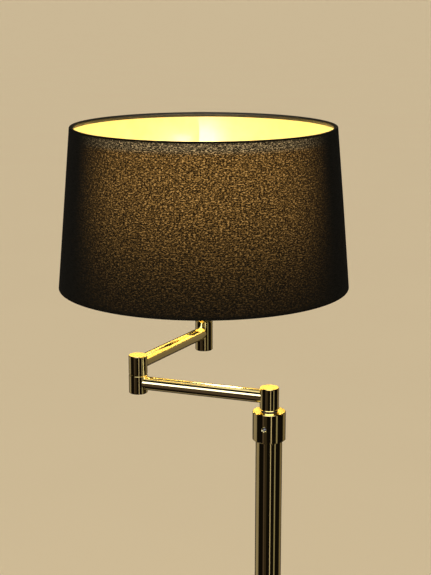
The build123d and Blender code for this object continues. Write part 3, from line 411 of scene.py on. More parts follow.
@dataclass(frozen=True)
class Solid:
    """A plain material with grain, a change of tone, worn edges and a little dust.

    Attributes:
        name: the material's name.
        colour: the main colour.
        second: the colour it drifts to.
        rough: the roughness.
        metal: how metallic it is.
        scale: grains per metre.
        depth: height of the grain, in metres.
        worn: the colour of rubbed edges.
        wear: how far edges are rubbed.
        dust: how much dust lies on it.
    """

    name: str
    colour: Colour
    second: Colour
    rough: float
    metal: float = 0.0
    scale: float = 900.0
    depth: float = 0.00003
    worn: Colour = (0.5, 0.5, 0.5)
    wear: float = 0.2
    dust: float = 0.1

    def material(self) -> bpy.types.Material:
        """Builds the material and returns it."""
        material, wires, shader, surface = new_material(self.name)
        grain = GRAIN.place(wires, {"Surface": surface, "Scale": self.scale})
        wear = WEAR.place(wires, {"Surface": surface, "Reach": 0.0005})["Mask"]
        dust = DUST.place(wires, {"Surface": surface, "Amount": self.dust})["Mask"]
        body = wires.mix(wires.fade(grain["Tone"], 0.35, 0.65), self.colour, self.second)
        rubbed = wires.mix(wires.times(wear, self.wear), body, self.worn)
        wires.feed(shader.inputs["Base Color"], wires.mix(dust, rubbed, (0.50, 0.46, 0.40)))
        rough = wires.math("MULTIPLY_ADD", grain["Height"], 0.12, self.rough - 0.06)
        wires.feed(shader.inputs["Roughness"], rough)
        wires.relief(shader, grain["Height"], 0.6, self.depth)
        set_constants(shader, metallic=self.metal)
        return material


@dataclass(frozen=True)
class ShadeCloth:
    """Black slub cloth on a stiff backing, with a glow of its own that stands for light from inside.

    Attributes:
        name: the material's name.
        low: height of the cloth's lower edge.
        high: height of its upper edge.
        bulb_height: height from which the glow is worked out.
        wall_radius: middle radius of the shade.
        lit: whether the cloth glows; the turned hems do not.
        rough: the roughness.
        shine: the specular level.
        pitch: distance from thread to thread.
        through: the glow between the flecks.
        fleck: the glow in the flecks.
        rim_band_glow: the glow of the band under the top rim.
    """

    name: str
    low: float
    high: float
    bulb_height: float
    wall_radius: float
    lit: bool = True
    rough: float = 0.85
    shine: float = 0.04
    pitch: float = 0.0009
    through: Colour = (0.70, 0.32, 0.040)
    fleck: Colour = (0.72, 0.43, 0.150)
    rim_band_glow: Colour = (0.74, 0.52, 0.24)

    def material(self) -> bpy.types.Material:
        """Builds the cloth and returns it."""
        material, wires, shader, surface = new_material(self.name)
        place = wires.add("UVMap", uv_map=CLOTH_UV).outputs[0]
        weave = WEAVE.place(wires, {"Place": place, "Pitch": self.pitch, "Contrast": 3.5})
        dust = DUST.place(wires, {"Surface": surface, "Amount": 0.12})["Mask"]
        tone = wires.fade(weave["Tone"], 0.3, 0.7)
        thread = wires.mix(tone, (0.0050, 0.0052, 0.0045), (0.0115, 0.0110, 0.0090))
        wires.feed(shader.inputs["Base Color"], wires.mix(dust, thread, (0.12, 0.11, 0.09)))
        wires.relief(shader, weave["Height"], 0.5, 0.00018)
        set_constants(shader, roughness=self.rough, sheen_weight=0.006, sheen_roughness=0.4)
        shader.inputs["Specular IOR Level"].default_value = self.shine
        # painted light: the cloth's emission stands for bulb light let through the weave, fading at the rims
        # and at grazing angles
        if self.lit:
            feeds = {"Surface": surface, "Bulb Height": self.bulb_height, "Wall Radius": self.wall_radius}
            light = GLOW.place(wires, {**feeds, "Throw": 3.5})["Light"]
            _, _, height = wires.split(surface)
            below_rim = wires.fade(height, self.high - 0.0015, self.high - 0.0032)
            above_rim = wires.fade(height, self.low + 0.001, self.low + 0.007)
            facing = wires.add("LayerWeight", {"Blend": 0.5}).outputs["Facing"]
            square = wires.math("SUBTRACT", 1.0, facing)
            beam = wires.times(wires.math("POWER", square, 1.3), wires.fade(square, 0.36, 0.80))
            light = wires.times(light, below_rim, above_rim, beam, weave["Light"])
            # painted light: the glow takes another hue in a band under the top rim
            under_rim = wires.fade(height, self.high - 0.018, self.high - 0.009)
            plain = wires.mix(wires.times(weave["Fleck"], 0.7), self.through, self.fleck)
            hue = wires.mix(under_rim, plain, self.rim_band_glow)
            wires.feed(shader.inputs["Emission Color"], wires.scale(hue, light))
            set_constants(shader, emission_strength=1.0)
        return material


@dataclass(frozen=True)
class LiningFilm:
    """Glossy golden lining."""

    name: str = "golden_lining"
    colour: Colour = (0.88, 0.72, 0.30)

    def material(self) -> bpy.types.Material:
        """Builds the lining and returns it."""
        material, wires, shader, surface = new_material(self.name)
        grain = GRAIN.place(wires, {"Surface": surface, "Scale": 260.0})
        place = wires.add("UVMap", uv_map=CLOTH_UV).outputs[0]
        weave = WEAVE.place(wires, {"Place": place, "Pitch": 0.0009, "Contrast": 1.0})
        warm = wires.mix(wires.fade(grain["Tone"], 0.3, 0.7), self.colour, (0.85, 0.67, 0.26))
        wires.feed(shader.inputs["Base Color"], warm)
        wires.feed(shader.inputs["Roughness"], wires.math("MULTIPLY_ADD", grain["Height"], 0.1, 0.45))
        height = wires.math("MULTIPLY_ADD", weave["Height"], 0.3, grain["Height"])
        wires.relief(shader, height, 0.1, 0.00006)
        set_constants(shader, coat_weight=1.0, coat_roughness=0.23)
        return material


@dataclass(frozen=True)
class OpalGlass:
    """Opal globe of the lit bulb."""

    name: str = "opal_globe"
    strength: float = 12.0

    def material(self) -> bpy.types.Material:
        """Builds the lit glass and returns it."""
        material, wires, shader, surface = new_material(self.name)
        grain = GRAIN.place(wires, {"Surface": surface, "Scale": 300.0})
        soft = wires.mix(grain["Tone"], (1.0, 0.84, 0.50), (1.0, 0.88, 0.58))
        glass = wires.mix(grain["Tone"], (0.86, 0.85, 0.82), (0.9, 0.89, 0.87))
        wires.feed(shader.inputs["Base Color"], glass)
        wires.feed(shader.inputs["Emission Color"], soft)
        wires.feed(shader.inputs["Roughness"], wires.math("MULTIPLY_ADD", grain["Height"], 0.1, 0.3))
        set_constants(shader, emission_strength=self.strength)
        return material


# ---- mesh work ---------------------------------------------------------------------

CLOTH_UV = "cloth"
Profile = list[tuple[float, float]]


def arc(centre: tuple[float, float], radius: float, start: float, end: float, steps: int) -> Profile:
    """Returns points on an arc in a section, with angles in degrees from outward."""
    turns = np.radians(np.linspace(start, end, steps))
    return [(centre[0] + radius * math.cos(t), centre[1] + radius * math.sin(t)) for t in turns]


def line(start: tuple[float, float], end: tuple[float, float], steps: int) -> Profile:
    """Returns evenly spaced points on a straight line in a section."""
    return [tuple(p) for p in np.linspace(start, end, steps)]


def wrap(rings: int, count: int, joined: bool = True, closed: bool = True) -> list[tuple[int, ...]]:
    """Returns the quads between rings of points.

    Args:
        rings: how many rings there are.
        count: points in each ring.
        joined: whether the last ring meets the first.
        closed: whether each ring's last point meets its first.
    """
    faces = []
    for i in range(rings if joined else rings - 1):
        j = (i + 1) % rings
        for k in range(count if closed else count - 1):
            m = (k + 1) % count
            faces.append((i * count + k, j * count + k, j * count + m, i * count + m))
    return faces


def add_object(name: str, data: bpy.types.ID) -> bpy.types.Object:
    """Makes an object and links it to the scene."""
    thing = bpy.data.objects.new(name, data)
    bpy.context.scene.collection.objects.link(thing)
    return thing


@dataclass
class Ribbon:
    """A strip of sheet with a thickness, carried round the lamp's axis.

    Attributes:
        name: the piece's name.
        path: the middle of the strip in section, as (radius, height).
        thickness: the strip's thickness.
        steps: spans round the axis.
        seam: azimuth where the strip begins.
        overlap: angle by which its end laps over its start; zero joins the ring up.
        lap_side: +1 laps outside, -1 laps inside.
        sway: how far the wall leaves a true cone between its hoops.
        bubble: how far the strip's start stands inward of the wall, just past the lap.
        bubble_reach: distance from the lap to the bubble's highest line.
    """

    name: str
    path: Profile
    thickness: float
    steps: int = 360
    seam: float = 0.0
    overlap: float = 0.0
    lap_side: int = 1
    sway: float = 0.0
    bubble: float = 0.0
    bubble_reach: float = 18 * MM

    def outline(self) -> np.ndarray:
        """Returns the closed section: one face of the strip out, the other back."""
        p = np.array(self.path)
        run = np.gradient(p, axis=0)
        run /= np.linalg.norm(run, axis=1)[:, None]
        aside = np.stack([run[:, 1], -run[:, 0]], axis=1) * self.thickness / 2
        return np.concatenate([p + aside, (p - aside)[::-1]])

    def stand_off(self, turn: np.ndarray) -> np.ndarray:
        """Returns how far the strip stands off where it laps over its start."""
        if not self.overlap:
            return np.zeros_like(turn)
        rise = np.clip((turn - (2 * math.pi - 1.5 * self.overlap)) / self.overlap, 0, 1)
        return self.lap_side * (self.thickness + 0.05 * MM) * rise * rise * (3 - 2 * rise)

    def blister(self, turn: np.ndarray, middle: float) -> np.ndarray:
        """Returns how far the strip stands inward of the wall, just past the lap."""
        past = np.clip(turn - self.overlap, 0.0, None) * middle / self.bubble_reach
        return self.bubble * past * np.exp(1.0 - past)

    def build(self, at: Vector) -> bpy.types.Object:
        """Makes the mesh.

        Args:
            at: a point on the lamp's axis at floor height.

        Returns:
            The piece, with its cloth coordinates in metres.
        """
        section = self.outline()
        count, rows = len(section), len(self.path)
        joined = not self.overlap
        turn = np.linspace(0.0, 2 * math.pi + self.overlap, self.steps + 1)
        low, high = section[:, 1].min(), section[:, 1].max()
        share = (section[:, 1] - low) / (high - low)
        wave = np.sin(3 * turn + 0.6) + 0.5 * np.sin(7 * turn + 1.9)
        radius = section[None, :, 0] + self.stand_off(turn)[:, None]
        belly = np.sin(math.pi * share)
        radius = radius + self.sway * wave[:, None] * belly[None, :]
        middle = float(np.mean(section[:, 0]))
        free = np.clip(3.0 * (belly - 0.12), 0.0, 1.0)
        radius = radius - self.blister(turn, middle)[:, None] * free[None, :]
        azimuth = turn + self.seam
        x = radius * np.cos(azimuth)[:, None]
        y = radius * np.sin(azimuth)[:, None]
        z = np.broadcast_to(section[None, :, 1], x.shape)
        rings = self.steps if joined else self.steps + 1
        points = np.stack([x, y, z], axis=2)[:rings].reshape(-1, 3)
        spacing = np.linalg.norm(np.diff(np.array(self.path), axis=0), axis=1)
        gone = np.concatenate([[0.0], np.cumsum(spacing)])
        across = np.concatenate([gone, gone[::-1]])
        faces, corners = wrap(rings, count, joined), []
        for start, end in zip(turn[:-1], turn[1:]):
            for k in range(count):
                m = (k + 1) % count
                corners.append([(start, k), (end, k), (end, m), (start, m)])
        if not joined:
            for ring, flip in ((0, False), (rings - 1, True)):
                for k in range(rows - 1):
                    quad = [k, k + 1, count - 2 - k, count - 1 - k]
                    quad = quad[::-1] if flip else quad
                    faces.append(tuple(ring * count + q for q in quad))
                    corners.append([(turn[0 if ring == 0 else -1], q) for q in quad])
        uvs = [(t * middle, across[k]) for face in corners for t, k in face]
        piece = mesh_piece(self.name, points, faces, uvs)
        piece.location = at
        return piece


def mesh_piece(name: str, points: np.ndarray, faces: list, uvs: list | None = None) -> bpy.types.Object:
    """Makes a smooth mesh object.

    Args:
        name: the piece's name.
        points: its vertices.
        faces: its faces, as vertex numbers.
        uvs: a coordinate for each corner of each face, in order.

    Returns:
        The object, linked to the scene.
    """
    mesh = bpy.data.meshes.new(name)
    mesh.from_pydata([tuple(p) for p in points], [], faces)
    if uvs:
        layer = mesh.uv_layers.new(name=CLOTH_UV)
        layer.data.foreach_set("uv", np.array(uvs, dtype=np.float32).ravel())
    mesh.polygons.foreach_set("use_smooth", [True] * len(mesh.polygons))
    mesh.set_sharp_from_angle(angle=math.radians(40))
    mesh.update()
    return add_object(name, mesh)


@dataclass
class ThreadedShell:
    """A tube with a round thread on its outside, and a plain or threaded bore.

    Attributes:
        name: the piece's name.
        outer: radius over the crests.
        inner: radius of the bore.
        low: height of the lower end.
        high: height of the upper end.
        thread_low: where the thread starts.
        thread_high: where it ends.
        pitch: rise in one turn.
        depth: depth of the thread.
        follow: whether the bore follows the thread, as in rolled sheet.
        spans: faces round the tube.
    """

    name: str
    outer: float
    inner: float
    low: float
    high: float
    thread_low: float
    thread_high: float
    pitch: float
    depth: float
    follow: bool = False
    spans: int = 96

    def build(self, at: Vector) -> bpy.types.Object:
        """Makes the mesh on the lamp's axis and returns it."""
        rows = max(24, round((self.high - self.low) / self.pitch * 10))
        z = np.linspace(self.low, self.high, rows + 1)
        turn = np.linspace(0, 2 * math.pi, self.spans, endpoint=False)
        grid_z, grid_t = np.meshgrid(z, turn)
        fade = np.clip((grid_z - self.thread_low) / self.pitch, 0, 1)
        fade = fade * np.clip((self.thread_high - grid_z) / self.pitch, 0, 1)
        wave = 0.5 + 0.5 * np.cos(2 * math.pi * (grid_z / self.pitch - grid_t / (2 * math.pi)))
        cut = self.depth * (1 - wave) * fade
        outside = self.outer - cut
        inside = np.full_like(grid_z, self.inner) - (cut if self.follow else 0.0)
        radius = np.concatenate([outside, inside[:, ::-1]], axis=1)
        heights = np.concatenate([grid_z, grid_z[:, ::-1]], axis=1)
        angles = np.concatenate([grid_t, grid_t], axis=1)
        points = np.stack([radius * np.cos(angles), radius * np.sin(angles), heights], axis=2)
        piece = mesh_piece(self.name, points.reshape(-1, 3), wrap(self.spans, radius.shape[1]))
        piece.location = at
        return piece


# ---- the lamp ----------------------------------------------------------------------

Nodes = dict[str, bpy.types.Object]


def axis_of(node: str) -> Vector:
    """Returns the middle of a node's box, dropped to floor height."""
    low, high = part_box(node)
    return Vector(((low.x + high.x) / 2, (low.y + high.y) / 2, 0.0))


def ring_radius(nodes: Nodes, node: str, height: float, outer: bool = True) -> float:
    """Returns a round node's radius at a height.

    Args:
        nodes: the frame's nodes.
        node: the node's name.
        height: where to measure; the nearest ring of vertices counts.
        outer: the outer radius, or else the inner one.
    """
    axis = axis_of(node)
    points = np.array([v.co for v in nodes[node].data.vertices])
    away = np.abs(points[:, 2] - height)
    near = points[away < away.min() + 0.2 * MM]
    reach = np.hypot(near[:, 0] - axis.x, near[:, 1] - axis.y)
    return float(reach.max() if outer else reach.min())


def paint(nodes: Nodes, material: bpy.types.Material, *names: str) -> None:
    """Gives CAD nodes a finish."""
    for name in names:
        for slot in nodes[name].material_slots:
            slot.material = material
        LOG.info("%s: %s", name, material.name)


def settle(piece: bpy.types.Object, material: bpy.types.Material, body: str) -> None:
    """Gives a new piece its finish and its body."""
    piece.data.materials.append(material)
    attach(piece, body)
    LOG.info("%s: %s, on %s", piece.name, material.name, body)


@dataclass
class Base:
    """Weighted round base with its spun cover, felt, foot and gland."""

    nodes: Nodes
    felt_edge: float = 0.9 * MM
    felt_fray: float = 0.25 * MM
    felt_middle: float = 12 * MM

    def dress(self) -> None:
        """Finishes the base's CAD pieces."""
        centre, up = Vector((0, 0, 0)), Vector((0, 0, 1))
        spun = Brass("brass_spun", Making.TURNED, centre, up, polish=0.07).material()
        paint(self.nodes, spun, "base_cover", "stem_foot")
        iron = Solid("cast_iron", (0.035, 0.035, 0.037), (0.06, 0.052, 0.047), 0.7, 0.5, 700.0, 0.0002)
        paint(self.nodes, iron.material(), "base_weight")
        zinc = Solid(
            "zinc_steel", (0.56, 0.57, 0.58), (0.47, 0.47, 0.48), 0.33, 1.0, 2500.0, worn=(0.8, 0.8, 0.8)
        ).material()
        paint(self.nodes, zinc, "foot_screws", "foot_grub_screw", "collar_grub_screw", "elbow_spring_washer")
        paint(self.nodes, zinc, "post_nipple", "nipple_lock_nut")
        rubber = Solid("gland_rubber", (0.02, 0.02, 0.021), (0.03, 0.03, 0.03), 0.62, 0.0, 1800.0)
        paint(self.nodes, rubber.material(), "cable_gland")

    def build(self) -> None:
        """Builds the felt disc with its soft, slightly uneven rim."""
        low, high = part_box("base_pad")
        radius, top = (high.x - low.x) / 2, high.z
        edge = self.felt_edge
        outline = line((self.felt_middle, 0.0), (radius - edge, 0.0), 24)[:-1]
        outline += arc((radius - edge, edge), edge, -90, 0, 5)
        outline += arc((radius - edge, top - edge), edge, 0, 90, 5)
        outline += line((radius - edge, top), (self.felt_middle, top), 24)[1:]
        spans, rows = 240, len(outline)
        rng = np.random.default_rng(7)
        points = []
        for turn in (2 * math.pi * i / spans for i in range(spans)):
            for reach, height in outline:
                if reach > radius - 1.5 * edge:
                    reach -= self.felt_fray * rng.random()
                points.append((reach * math.cos(turn), reach * math.sin(turn), height))
        faces = wrap(spans, rows, closed=False)
        faces.append(tuple(i * rows for i in reversed(range(spans))))
        faces.append(tuple(i * rows + rows - 1 for i in range(spans)))
        pad = mesh_piece("base_felt", np.array(points), faces)
        green, pale_green = (0.020, 0.045, 0.026), (0.032, 0.062, 0.038)
        felt = Solid("green_felt", green, pale_green, 0.95, 0.0, 2600.0, 0.0003, wear=0.0)
        settle(pad, felt.material(), "stand")
        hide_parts("base_pad")


@dataclass
class Stem:
    """Stem tube, collar, bush, washer and the lead inside."""

    nodes: Nodes

    def dress(self) -> None:
        """Finishes the stem's pieces."""
        centre, up = Vector((0, 0, 0)), Vector((0, 0, 1))
        tube = Brass("brass_stem", Making.DRAWN, centre, up)
        paint(self.nodes, tube.material(), "stem_tube")
        turned = Brass("brass_turned_stem", Making.TURNED, centre, up).material()
        paint(self.nodes, turned, "stem_collar", "shoulder_housing", "shoulder_cap")
        inner = Brass("brass_inner", Making.TURNED, centre, up, 0.2, (0.78, 0.58, 0.27)).material()
        paint(self.nodes, inner, "swivel_socket", "shoulder_spindle", "elbow_pin", "elbow_nut")
        paint(self.nodes, inner, "terminal_screws", "screw_shell", "centre_contact")
        fibre = Solid("fibre_washer", (0.035, 0.020, 0.012), (0.055, 0.030, 0.017), 0.6, 0.0, 1500.0)
        paint(self.nodes, fibre.material(), "shoulder_washer")
        sheath = Solid("lead_sheath", (0.72, 0.68, 0.58), (0.66, 0.61, 0.50), 0.45, 0.0, 900.0)
        paint(self.nodes, sheath.material(), "stem_lead", "lower_arm_lead", "upper_arm_lead")


@dataclass
class Arms:
    """The two swivelling arms with the elbow between them and the post at the end."""

    nodes: Nodes

    def dress(self) -> None:
        """Finishes both arms, each with lines along its own tube."""
        shoulder, elbow, post = axis_of("stem_collar"), axis_of("elbow_ring"), axis_of("lamp_post")
        up = Vector((0, 0, 1))
        for side, start, end in (("lower", shoulder, elbow), ("upper", elbow, post)):
            tube = f"{side}_arm_tube"
            run = (end - start).normalized()
            drawn = Brass(f"brass_{side}_arm", Making.DRAWN, self.tube_centre(tube), run)
            paint(self.nodes, drawn.material(), tube)
        at_elbow = Brass("brass_turned_elbow", Making.TURNED, elbow, up).material()
        paint(self.nodes, at_elbow, "elbow_lower_housing", "elbow_upper_housing")
        paint(self.nodes, at_elbow, "elbow_bottom_cap", "elbow_top_cap", "elbow_ring")
        at_post = Brass("brass_turned_post", Making.TURNED, post, up).material()
        paint(self.nodes, at_post, "lamp_post", "post_bottom_cap", "holder_cap")

    @staticmethod
    def tube_centre(node: str) -> Vector:
        """Returns the middle of an arm tube."""
        low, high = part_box(node)
        return (low + high) / 2


@dataclass
class Lampholder:
    """Holder shells, insert, screw shell and the two rings that clamp the shade."""

    nodes: Nodes
    pitch: float = 2.5 * MM
    depth: float = 0.6 * MM
    thread_length: float = 33 * MM
    lead_in: float = 1.2 * MM

    def dress(self) -> None:
        """Finishes the holder's CAD pieces."""
        ink, grey = (0.018, 0.018, 0.019), (0.024, 0.024, 0.024)
        black = Solid("holder_black", ink, grey, 0.38, 0.0, 1400.0, worn=(0.1, 0.1, 0.1))
        paint(self.nodes, black.material(), "shade_ring_lower", "shade_ring_upper", "bulb_button")
        china = Solid("porcelain", (0.82, 0.80, 0.75), (0.77, 0.75, 0.70), 0.25, 0.0, 500.0)
        paint(self.nodes, china.material(), "holder_insulator")

    def build(self) -> None:
        """Builds the sleeve with its thread."""
        at = axis_of("holder_sleeve")
        low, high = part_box("holder_sleeve")
        outer = (high.x - low.x) / 2
        inner = ring_radius(self.nodes, "holder_sleeve", low.z, outer=False)
        sleeve = ThreadedShell(
            "holder_thread_sleeve", outer, inner, low.z, high.z,
            high.z - self.thread_length, high.z - self.lead_in, self.pitch, self.depth,
        ).build(at)
        settle(sleeve, bpy.data.materials["brass_turned_post"], "upper_arm")
        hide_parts("holder_sleeve")


@dataclass
class Bulb:
    """Lit bulb: opal globe, white body, rolled screw cap and solder tip.

    Attributes:
        nodes: the frame's nodes.
        power: the point light's watts.
        rise: how far the point light stands above the globe's middle, chosen for the look.
        warmth: its colour.
        pitch: rise of the cap's thread in one turn.
        depth: depth of that thread.
    """

    nodes: Nodes
    power: float = 0.85
    rise: float = 54 * MM
    warmth: Colour = (1.0, 0.86, 0.56)
    pitch: float = 3.62 * MM
    depth: float = 1.4 * MM

    def dress(self) -> None:
        """Finishes the bulb's CAD pieces; the globe casts no shadow."""
        paint(self.nodes, OpalGlass().material(), "bulb_globe")
        self.nodes["bulb_globe"].visible_shadow = False
        white = Solid("bulb_white", (0.80, 0.79, 0.76), (0.76, 0.75, 0.72), 0.4, 0.0, 900.0)
        paint(self.nodes, white.material(), "bulb_body")
        solder = Solid("solder", (0.60, 0.60, 0.60), (0.50, 0.50, 0.51), 0.4, 1.0, 1200.0, 0.0001)
        paint(self.nodes, solder.material(), "bulb_tip")

    def build(self) -> None:
        """Builds the rolled screw cap, and the light above the globe's middle."""
        at = axis_of("bulb_cap")
        low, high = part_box("bulb_cap")
        outer = (high.x - low.x) / 2
        cap = ThreadedShell(
            "bulb_screw_cap", outer, outer - 0.4 * MM, low.z, high.z,
            low.z + 1.0 * MM, high.z - 3.0 * MM, self.pitch, self.depth, follow=True,
        ).build(at)
        pale, dull = (0.70, 0.69, 0.66), (0.62, 0.61, 0.58)
        nickel = Solid("cap_metal", pale, dull, 0.25, 1.0, 2000.0, worn=(0.85, 0.85, 0.82))
        settle(cap, nickel.material(), "upper_arm")
        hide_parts("bulb_cap")
        low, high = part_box("bulb_globe")
        lamp = bpy.data.lights.new("bulb_light", "POINT")
        lamp.energy, lamp.color = self.power, self.warmth
        radius = (high.x - low.x) / 2
        lamp.shadow_soft_size = radius - 4 * MM
        light = add_object("bulb_light", lamp)
        light.location = ((low.x + high.x) / 2, (low.y + high.y) / 2, high.z - radius + self.rise)
        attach(light, "upper_arm")


@dataclass
class Shade:
    """Tapered drum shade: cloth, lining, the two turned hems, hoops and carrier."""

    nodes: Nodes
    seam: float = math.radians(92.5)
    lap: float = math.radians(2.7)
    cloth_thickness: float = 0.7 * MM
    lining_thickness: float = 0.35 * MM
    hem_thickness: float = 0.55 * MM
    rim_round: float = 0.9 * MM
    clearance: float = 0.1 * MM
    rows: int = 60
    sway: float = 0.22 * MM
    hem_depth: float = 4.0 * MM
    hoop_radius: float = 1.6 * MM
    lining_short: float = 1.6 * MM
    blister: float = 1.6 * MM
    glow_rise: float = 8 * MM
    glow_radius: float = 0.18
    finishes: dict[str, bpy.types.Material] = field(default_factory=dict)

    def dress(self) -> None:
        """Makes the shade's finishes and paints its metal parts."""
        white, cream = (0.80, 0.78, 0.73), (0.75, 0.73, 0.68)
        wire = Solid("wire_white", white, cream, 0.4, 0.0, 1600.0, worn=(0.5, 0.5, 0.48))
        paint(self.nodes, wire.material(), "shade_carrier", "shade_top_wire")
        low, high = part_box("shade_fabric")
        globe_low, globe_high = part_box("bulb_globe")
        bulb = globe_high.z - (globe_high.x - globe_low.x) / 2 + self.glow_rise
        places = (low.z, high.z, bulb, self.glow_radius)
        self.finishes["cloth"] = ShadeCloth("black_cloth", *places).material()
        hem = ShadeCloth("black_cloth_hem", *places, lit=False, rough=0.42, shine=0.4)
        self.finishes["hem"] = hem.material()
        self.finishes["lining"] = LiningFilm().material()

    def build(self) -> None:
        """Builds the cloth, the lining and both hems."""
        at = axis_of("shade_fabric")
        low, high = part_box("shade_fabric")
        low_radius = ring_radius(self.nodes, "shade_fabric", low.z)
        high_radius = ring_radius(self.nodes, "shade_fabric", high.z)
        self.build_cover(at, low_radius, high_radius, low.z, high.z)
        self.build_lining(at, low_radius, high_radius, low.z, high.z)
        self.build_hem(
            at, "shade_top_turned_hem", "shade_top_hem", "shade_top_wire", high.z, high_radius, 1
        )
        self.build_hem(
            at, "shade_bottom_turned_hem", "shade_bottom_hem", "shade_carrier", low.z, low_radius, -1
        )

    def build_cover(self, at: Vector, low_r: float, high_r: float, low_z: float, high_z: float) -> None:
        """Builds the outer cloth: a lapped cone with rims that roll inward."""
        half, r = self.cloth_thickness / 2, self.rim_round
        taper = (low_r - high_r) / (high_z - low_z)
        start = (low_r - half - taper * (r + half), low_z + half + r)
        end = (high_r - half + taper * (r + half), high_z - half - r)
        path = arc((start[0] - r, start[1]), r, -80, -8, 5)
        path += line(start, end, self.rows)
        path += arc((end[0] - r, end[1]), r, 12, 84, 5)
        cover = Ribbon("shade_cloth", path, self.cloth_thickness, 480, self.seam, self.lap, 1, self.sway)
        piece = cover.build(at)
        settle(piece, self.finishes["cloth"], "upper_arm")
        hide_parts("shade_fabric")

    def build_lining(self, at: Vector, low_r: float, high_r: float, low_z: float, high_z: float) -> None:
        """Builds the golden lining, lapped at the same seam on its inside."""
        inset = self.cloth_thickness + self.clearance + self.lining_thickness / 2
        taper = (low_r - high_r) / (high_z - low_z)
        short = self.lining_short
        first = (low_r - inset - taper * short, low_z + short)
        last = (high_r - inset + taper * short, high_z - short)
        path = line(first, last, self.rows)
        lining = Ribbon(
            "shade_gold_lining", path, self.lining_thickness, 480,
            self.seam - self.lap, self.lap, -1, self.sway, self.blister,
        )
        piece = lining.build(at)
        settle(piece, self.finishes["lining"], "upper_arm")
        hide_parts("shade_lining")

    def build_hem(
        self, at: Vector, name: str, node: str, hoop: str, edge: float, rim_r: float, side: int
    ) -> None:
        """Builds a hem: cloth that comes in from the rim, rounds the hoop and is glued down.

        Args:
            at: a point on the shade's axis.
            name: the piece's name.
            node: the CAD node it stands for.
            hoop: the node with the wire inside it.
            edge: height of the rim.
            rim_r: outer radius of the cloth at the rim.
            side: 1 for the top rim, -1 for the bottom one.
        """
        wire = self.hoop_radius
        turn = wire + 0.12 * MM + self.hem_thickness / 2
        hoop_z = edge - side * (turn + self.hem_thickness / 2 + 0.05 * MM)
        outer = ring_radius(self.nodes, hoop, hoop_z)
        centre = (outer - wire, hoop_z)
        wall = self.cloth_thickness + self.lining_thickness + 2 * self.clearance
        tucked = (rim_r - wall - self.hem_thickness / 2 - 0.3 * MM, hoop_z - side * (turn + 1.2 * MM))
        path = line((rim_r - 1.5 * MM, hoop_z + side * turn), (centre[0], hoop_z + side * turn), 4)[:-1]
        path += arc(centre, turn, 90 * side, 235 * side, 13)
        path += line(path[-1], tucked, 4)[1:]
        path += line(tucked, (tucked[0], hoop_z - side * self.hem_depth), 3)[1:]
        hem = Ribbon(name, path, self.hem_thickness)
        piece = hem.build(at)
        settle(piece, self.finishes["hem"], "upper_arm")
        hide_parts(node)


# ---- the studio --------------------------------------------------------------------


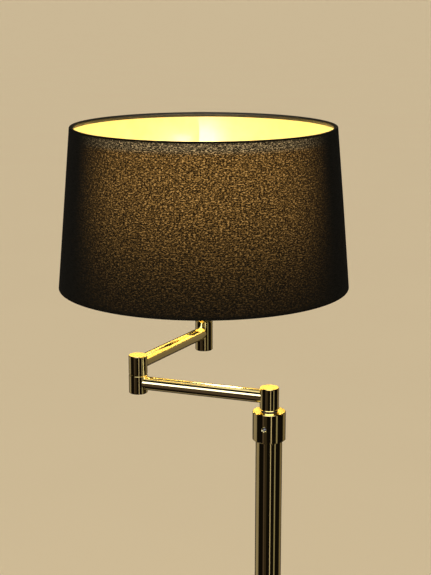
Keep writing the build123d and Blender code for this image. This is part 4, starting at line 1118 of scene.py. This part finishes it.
@dataclass
class Studio:
    """Plain pale floor, soft light and the camera."""

    eye: Vector = field(default_factory=lambda: Vector((-0.0637, -1.5654, 1.5961)))
    pitch: float = math.radians(12.99)
    sensor: float = 36.0
    lens: float = 86.587826
    floor_radius: float = 150.0
    ground: Colour = (0.72, 0.585, 0.37)

    def build(self) -> None:
        """Builds the studio round the lamp."""
        self.build_camera()
        self.build_floor()
        self.build_world()
        self.build_light()

    def build_camera(self) -> None:
        """Stands the camera in front of the lamp, a little above the shade, looking down."""
        lens = bpy.data.cameras.new("camera")
        lens.sensor_width, lens.lens = self.sensor, self.lens
        lens.clip_end = 400.0
        camera = add_object("camera", lens)
        camera.location = self.eye
        camera.rotation_euler = (math.pi / 2 - self.pitch, 0.0, 0.0)
        bpy.context.scene.camera = camera

    def build_floor(self) -> None:
        """Lays a wide round floor that reflections don't see."""
        spans = 96
        turns = [2 * math.pi * i / spans for i in range(spans)]
        points = [(self.floor_radius * math.cos(t), self.floor_radius * math.sin(t), 0.0) for t in turns]
        floor = mesh_piece("floor", np.array(points), [tuple(range(spans))])
        material, wires, shader, surface = new_material("floor_pale")
        tone = wires.fade(wires.noise(surface, 1.5, 3.0), 0.2, 0.8)
        paint_tone = wires.mix(tone, self.ground, tuple(c * 0.985 for c in self.ground))
        wires.feed(shader.inputs["Base Color"], paint_tone)
        wires.feed(shader.inputs["Emission Color"], paint_tone)
        set_constants(shader, roughness=0.9, emission_strength=0.45)
        floor.data.materials.append(material)
        floor.visible_glossy = False

    def build_world(self) -> None:
        """Sets a pale surround for the eye, soft light, and a dark room that only reflections see.

        That room has a pale ceiling, a warm wall behind the lamp and a few upright strips of
        light. It was chosen for the look of the brass and is no real room.
        """
        world = bpy.data.worlds.new("surround")
        world.use_nodes = True
        world.node_tree.nodes.clear()
        wires = Wiring(world.node_tree)
        direction = wires.add("TexCoord").outputs["Generated"]
        x, y, z = wires.split(direction)
        azimuth = wires.math("DEGREES", wires.math("ARCTAN2", x, wires.times(y, -1.0)))
        tilt = wires.math("DEGREES", wires.math("ARCSINE", z))
        aside = wires.math("ABSOLUTE", azimuth)
        level = wires.fade(tilt, 12.0, 0.0)
        low = wires.fade(tilt, 25.0, 10.0)
        front = wires.fade(aside, 78.0, 50.0)
        ceiling, high_front = wires.fade(tilt, 58.0, 70.0), self.band(wires, tilt, 22.0, 11.5, 4.0)
        behind = wires.fade(aside, 50.0, 78.0)
        parts = [
            ((1.0, 1.0, 1.08), high_front, front, 2.9),
            ((1.0, 0.90, 0.68), ceiling, None, 1.3),
            ((0.95, 0.68, 0.24), behind, self.band(wires, tilt, 20.0, 24.0, 8.0), 0.05),
        ]
        warm = (1.0, 0.83, 0.66)
        strips = [
            (warm, -118.0, 21.0, 8.0, low, 0.25),
            ((1.0, 0.78, 0.50), 128.0, 17.0, 8.0, low, 0.17),
            (warm, 168.0, 2.6, 2.0, level, 0.55),
            (warm, -158.0, 2.0, 2.0, level, 0.40),
            (warm, 13.0, 2.6, 2.0, level, 0.62),
            ((1.0, 0.87, 0.62), 53.0, 5.0, 4.0, level, 0.27),
            ((1.0, 0.70, 0.62), -44.0, 4.0, 4.0, level, 0.06),
            ((1.0, 0.72, 0.46), -30.0, 13.0, 8.0, level, 0.026),
        ]
        for colour, middle, half, soft, rise, strength in strips:
            parts.append((colour, self.band(wires, azimuth, middle, half, soft), rise, strength))
        total = wires.join(0.005, 0.004, 0.003)
        for colour, first, second, strength in parts:
            amount = wires.times(first, strength, *([] if second is None else [second]))
            total = wires.vector("ADD", total, wires.scale(colour, amount))
        path = wires.add("LightPath").outputs
        pale = tuple(c * 0.80 for c in self.ground)
        plain = wires.mix(path["Is Camera Ray"], (0.36, 0.34, 0.31), pale)
        seen = wires.mix(path["Is Glossy Ray"], plain, total)
        background = wires.add("Background", {"Color": seen, "Strength": 1.0})
        output = wires.add("OutputWorld")
        wires.feed(output.inputs["Surface"], background.outputs[0])
        bpy.context.scene.world = world

    @staticmethod
    def band(wires: Wiring, value: Socket, middle: float, half: float, soft: float) -> Socket:
        """Returns a soft-edged band.

        Args:
            wires: the world's nodes.
            value: an angle in degrees.
            middle: the band's middle.
            half: half its width.
            soft: the width over which it fades at each side.
        """
        off = wires.math("ABSOLUTE", wires.math("SUBTRACT", value, middle))
        return wires.fade(off, half + soft / 2, max(half - soft / 2, 0.0))

    def build_light(self) -> None:
        """Hangs one large soft light above and in front of the lamp."""
        lamp = bpy.data.lights.new("soft_light", "AREA")
        lamp.shape, lamp.size = "DISK", 2.4
        lamp.energy, lamp.color = 22.0, (1.0, 0.95, 0.88)
        light = add_object("soft_light", lamp)
        light.location = (-1.2, -2.6, 3.4)
        light.rotation_euler = (Vector((0, 0, 1.0)) - light.location).to_track_quat("-Z", "Y").to_euler()
        light.visible_glossy = False


def corners(box: tuple[Vector, Vector]) -> list[list[float]]:
    """Returns a box's two corners as plain lists."""
    return [list(box[0]), list(box[1])]


def main() -> None:
    """Builds the lamp's looks in order."""
    logging.basicConfig(level=logging.INFO, format="%(name)s: %(message)s")
    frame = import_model()
    nodes: Nodes = frame["nodes"]
    bpy.context.scene.view_settings.view_transform = "Standard"
    Studio().build()
    base, stem, arms = Base(nodes), Stem(nodes), Arms(nodes)
    holder, shade, bulb = Lampholder(nodes), Shade(nodes), Bulb(nodes)
    for part in (base, stem, arms, holder, shade, bulb):
        part.dress()
    for part in (base, holder, shade, bulb):
        part.build()


if __name__ == "__main__":
    main()
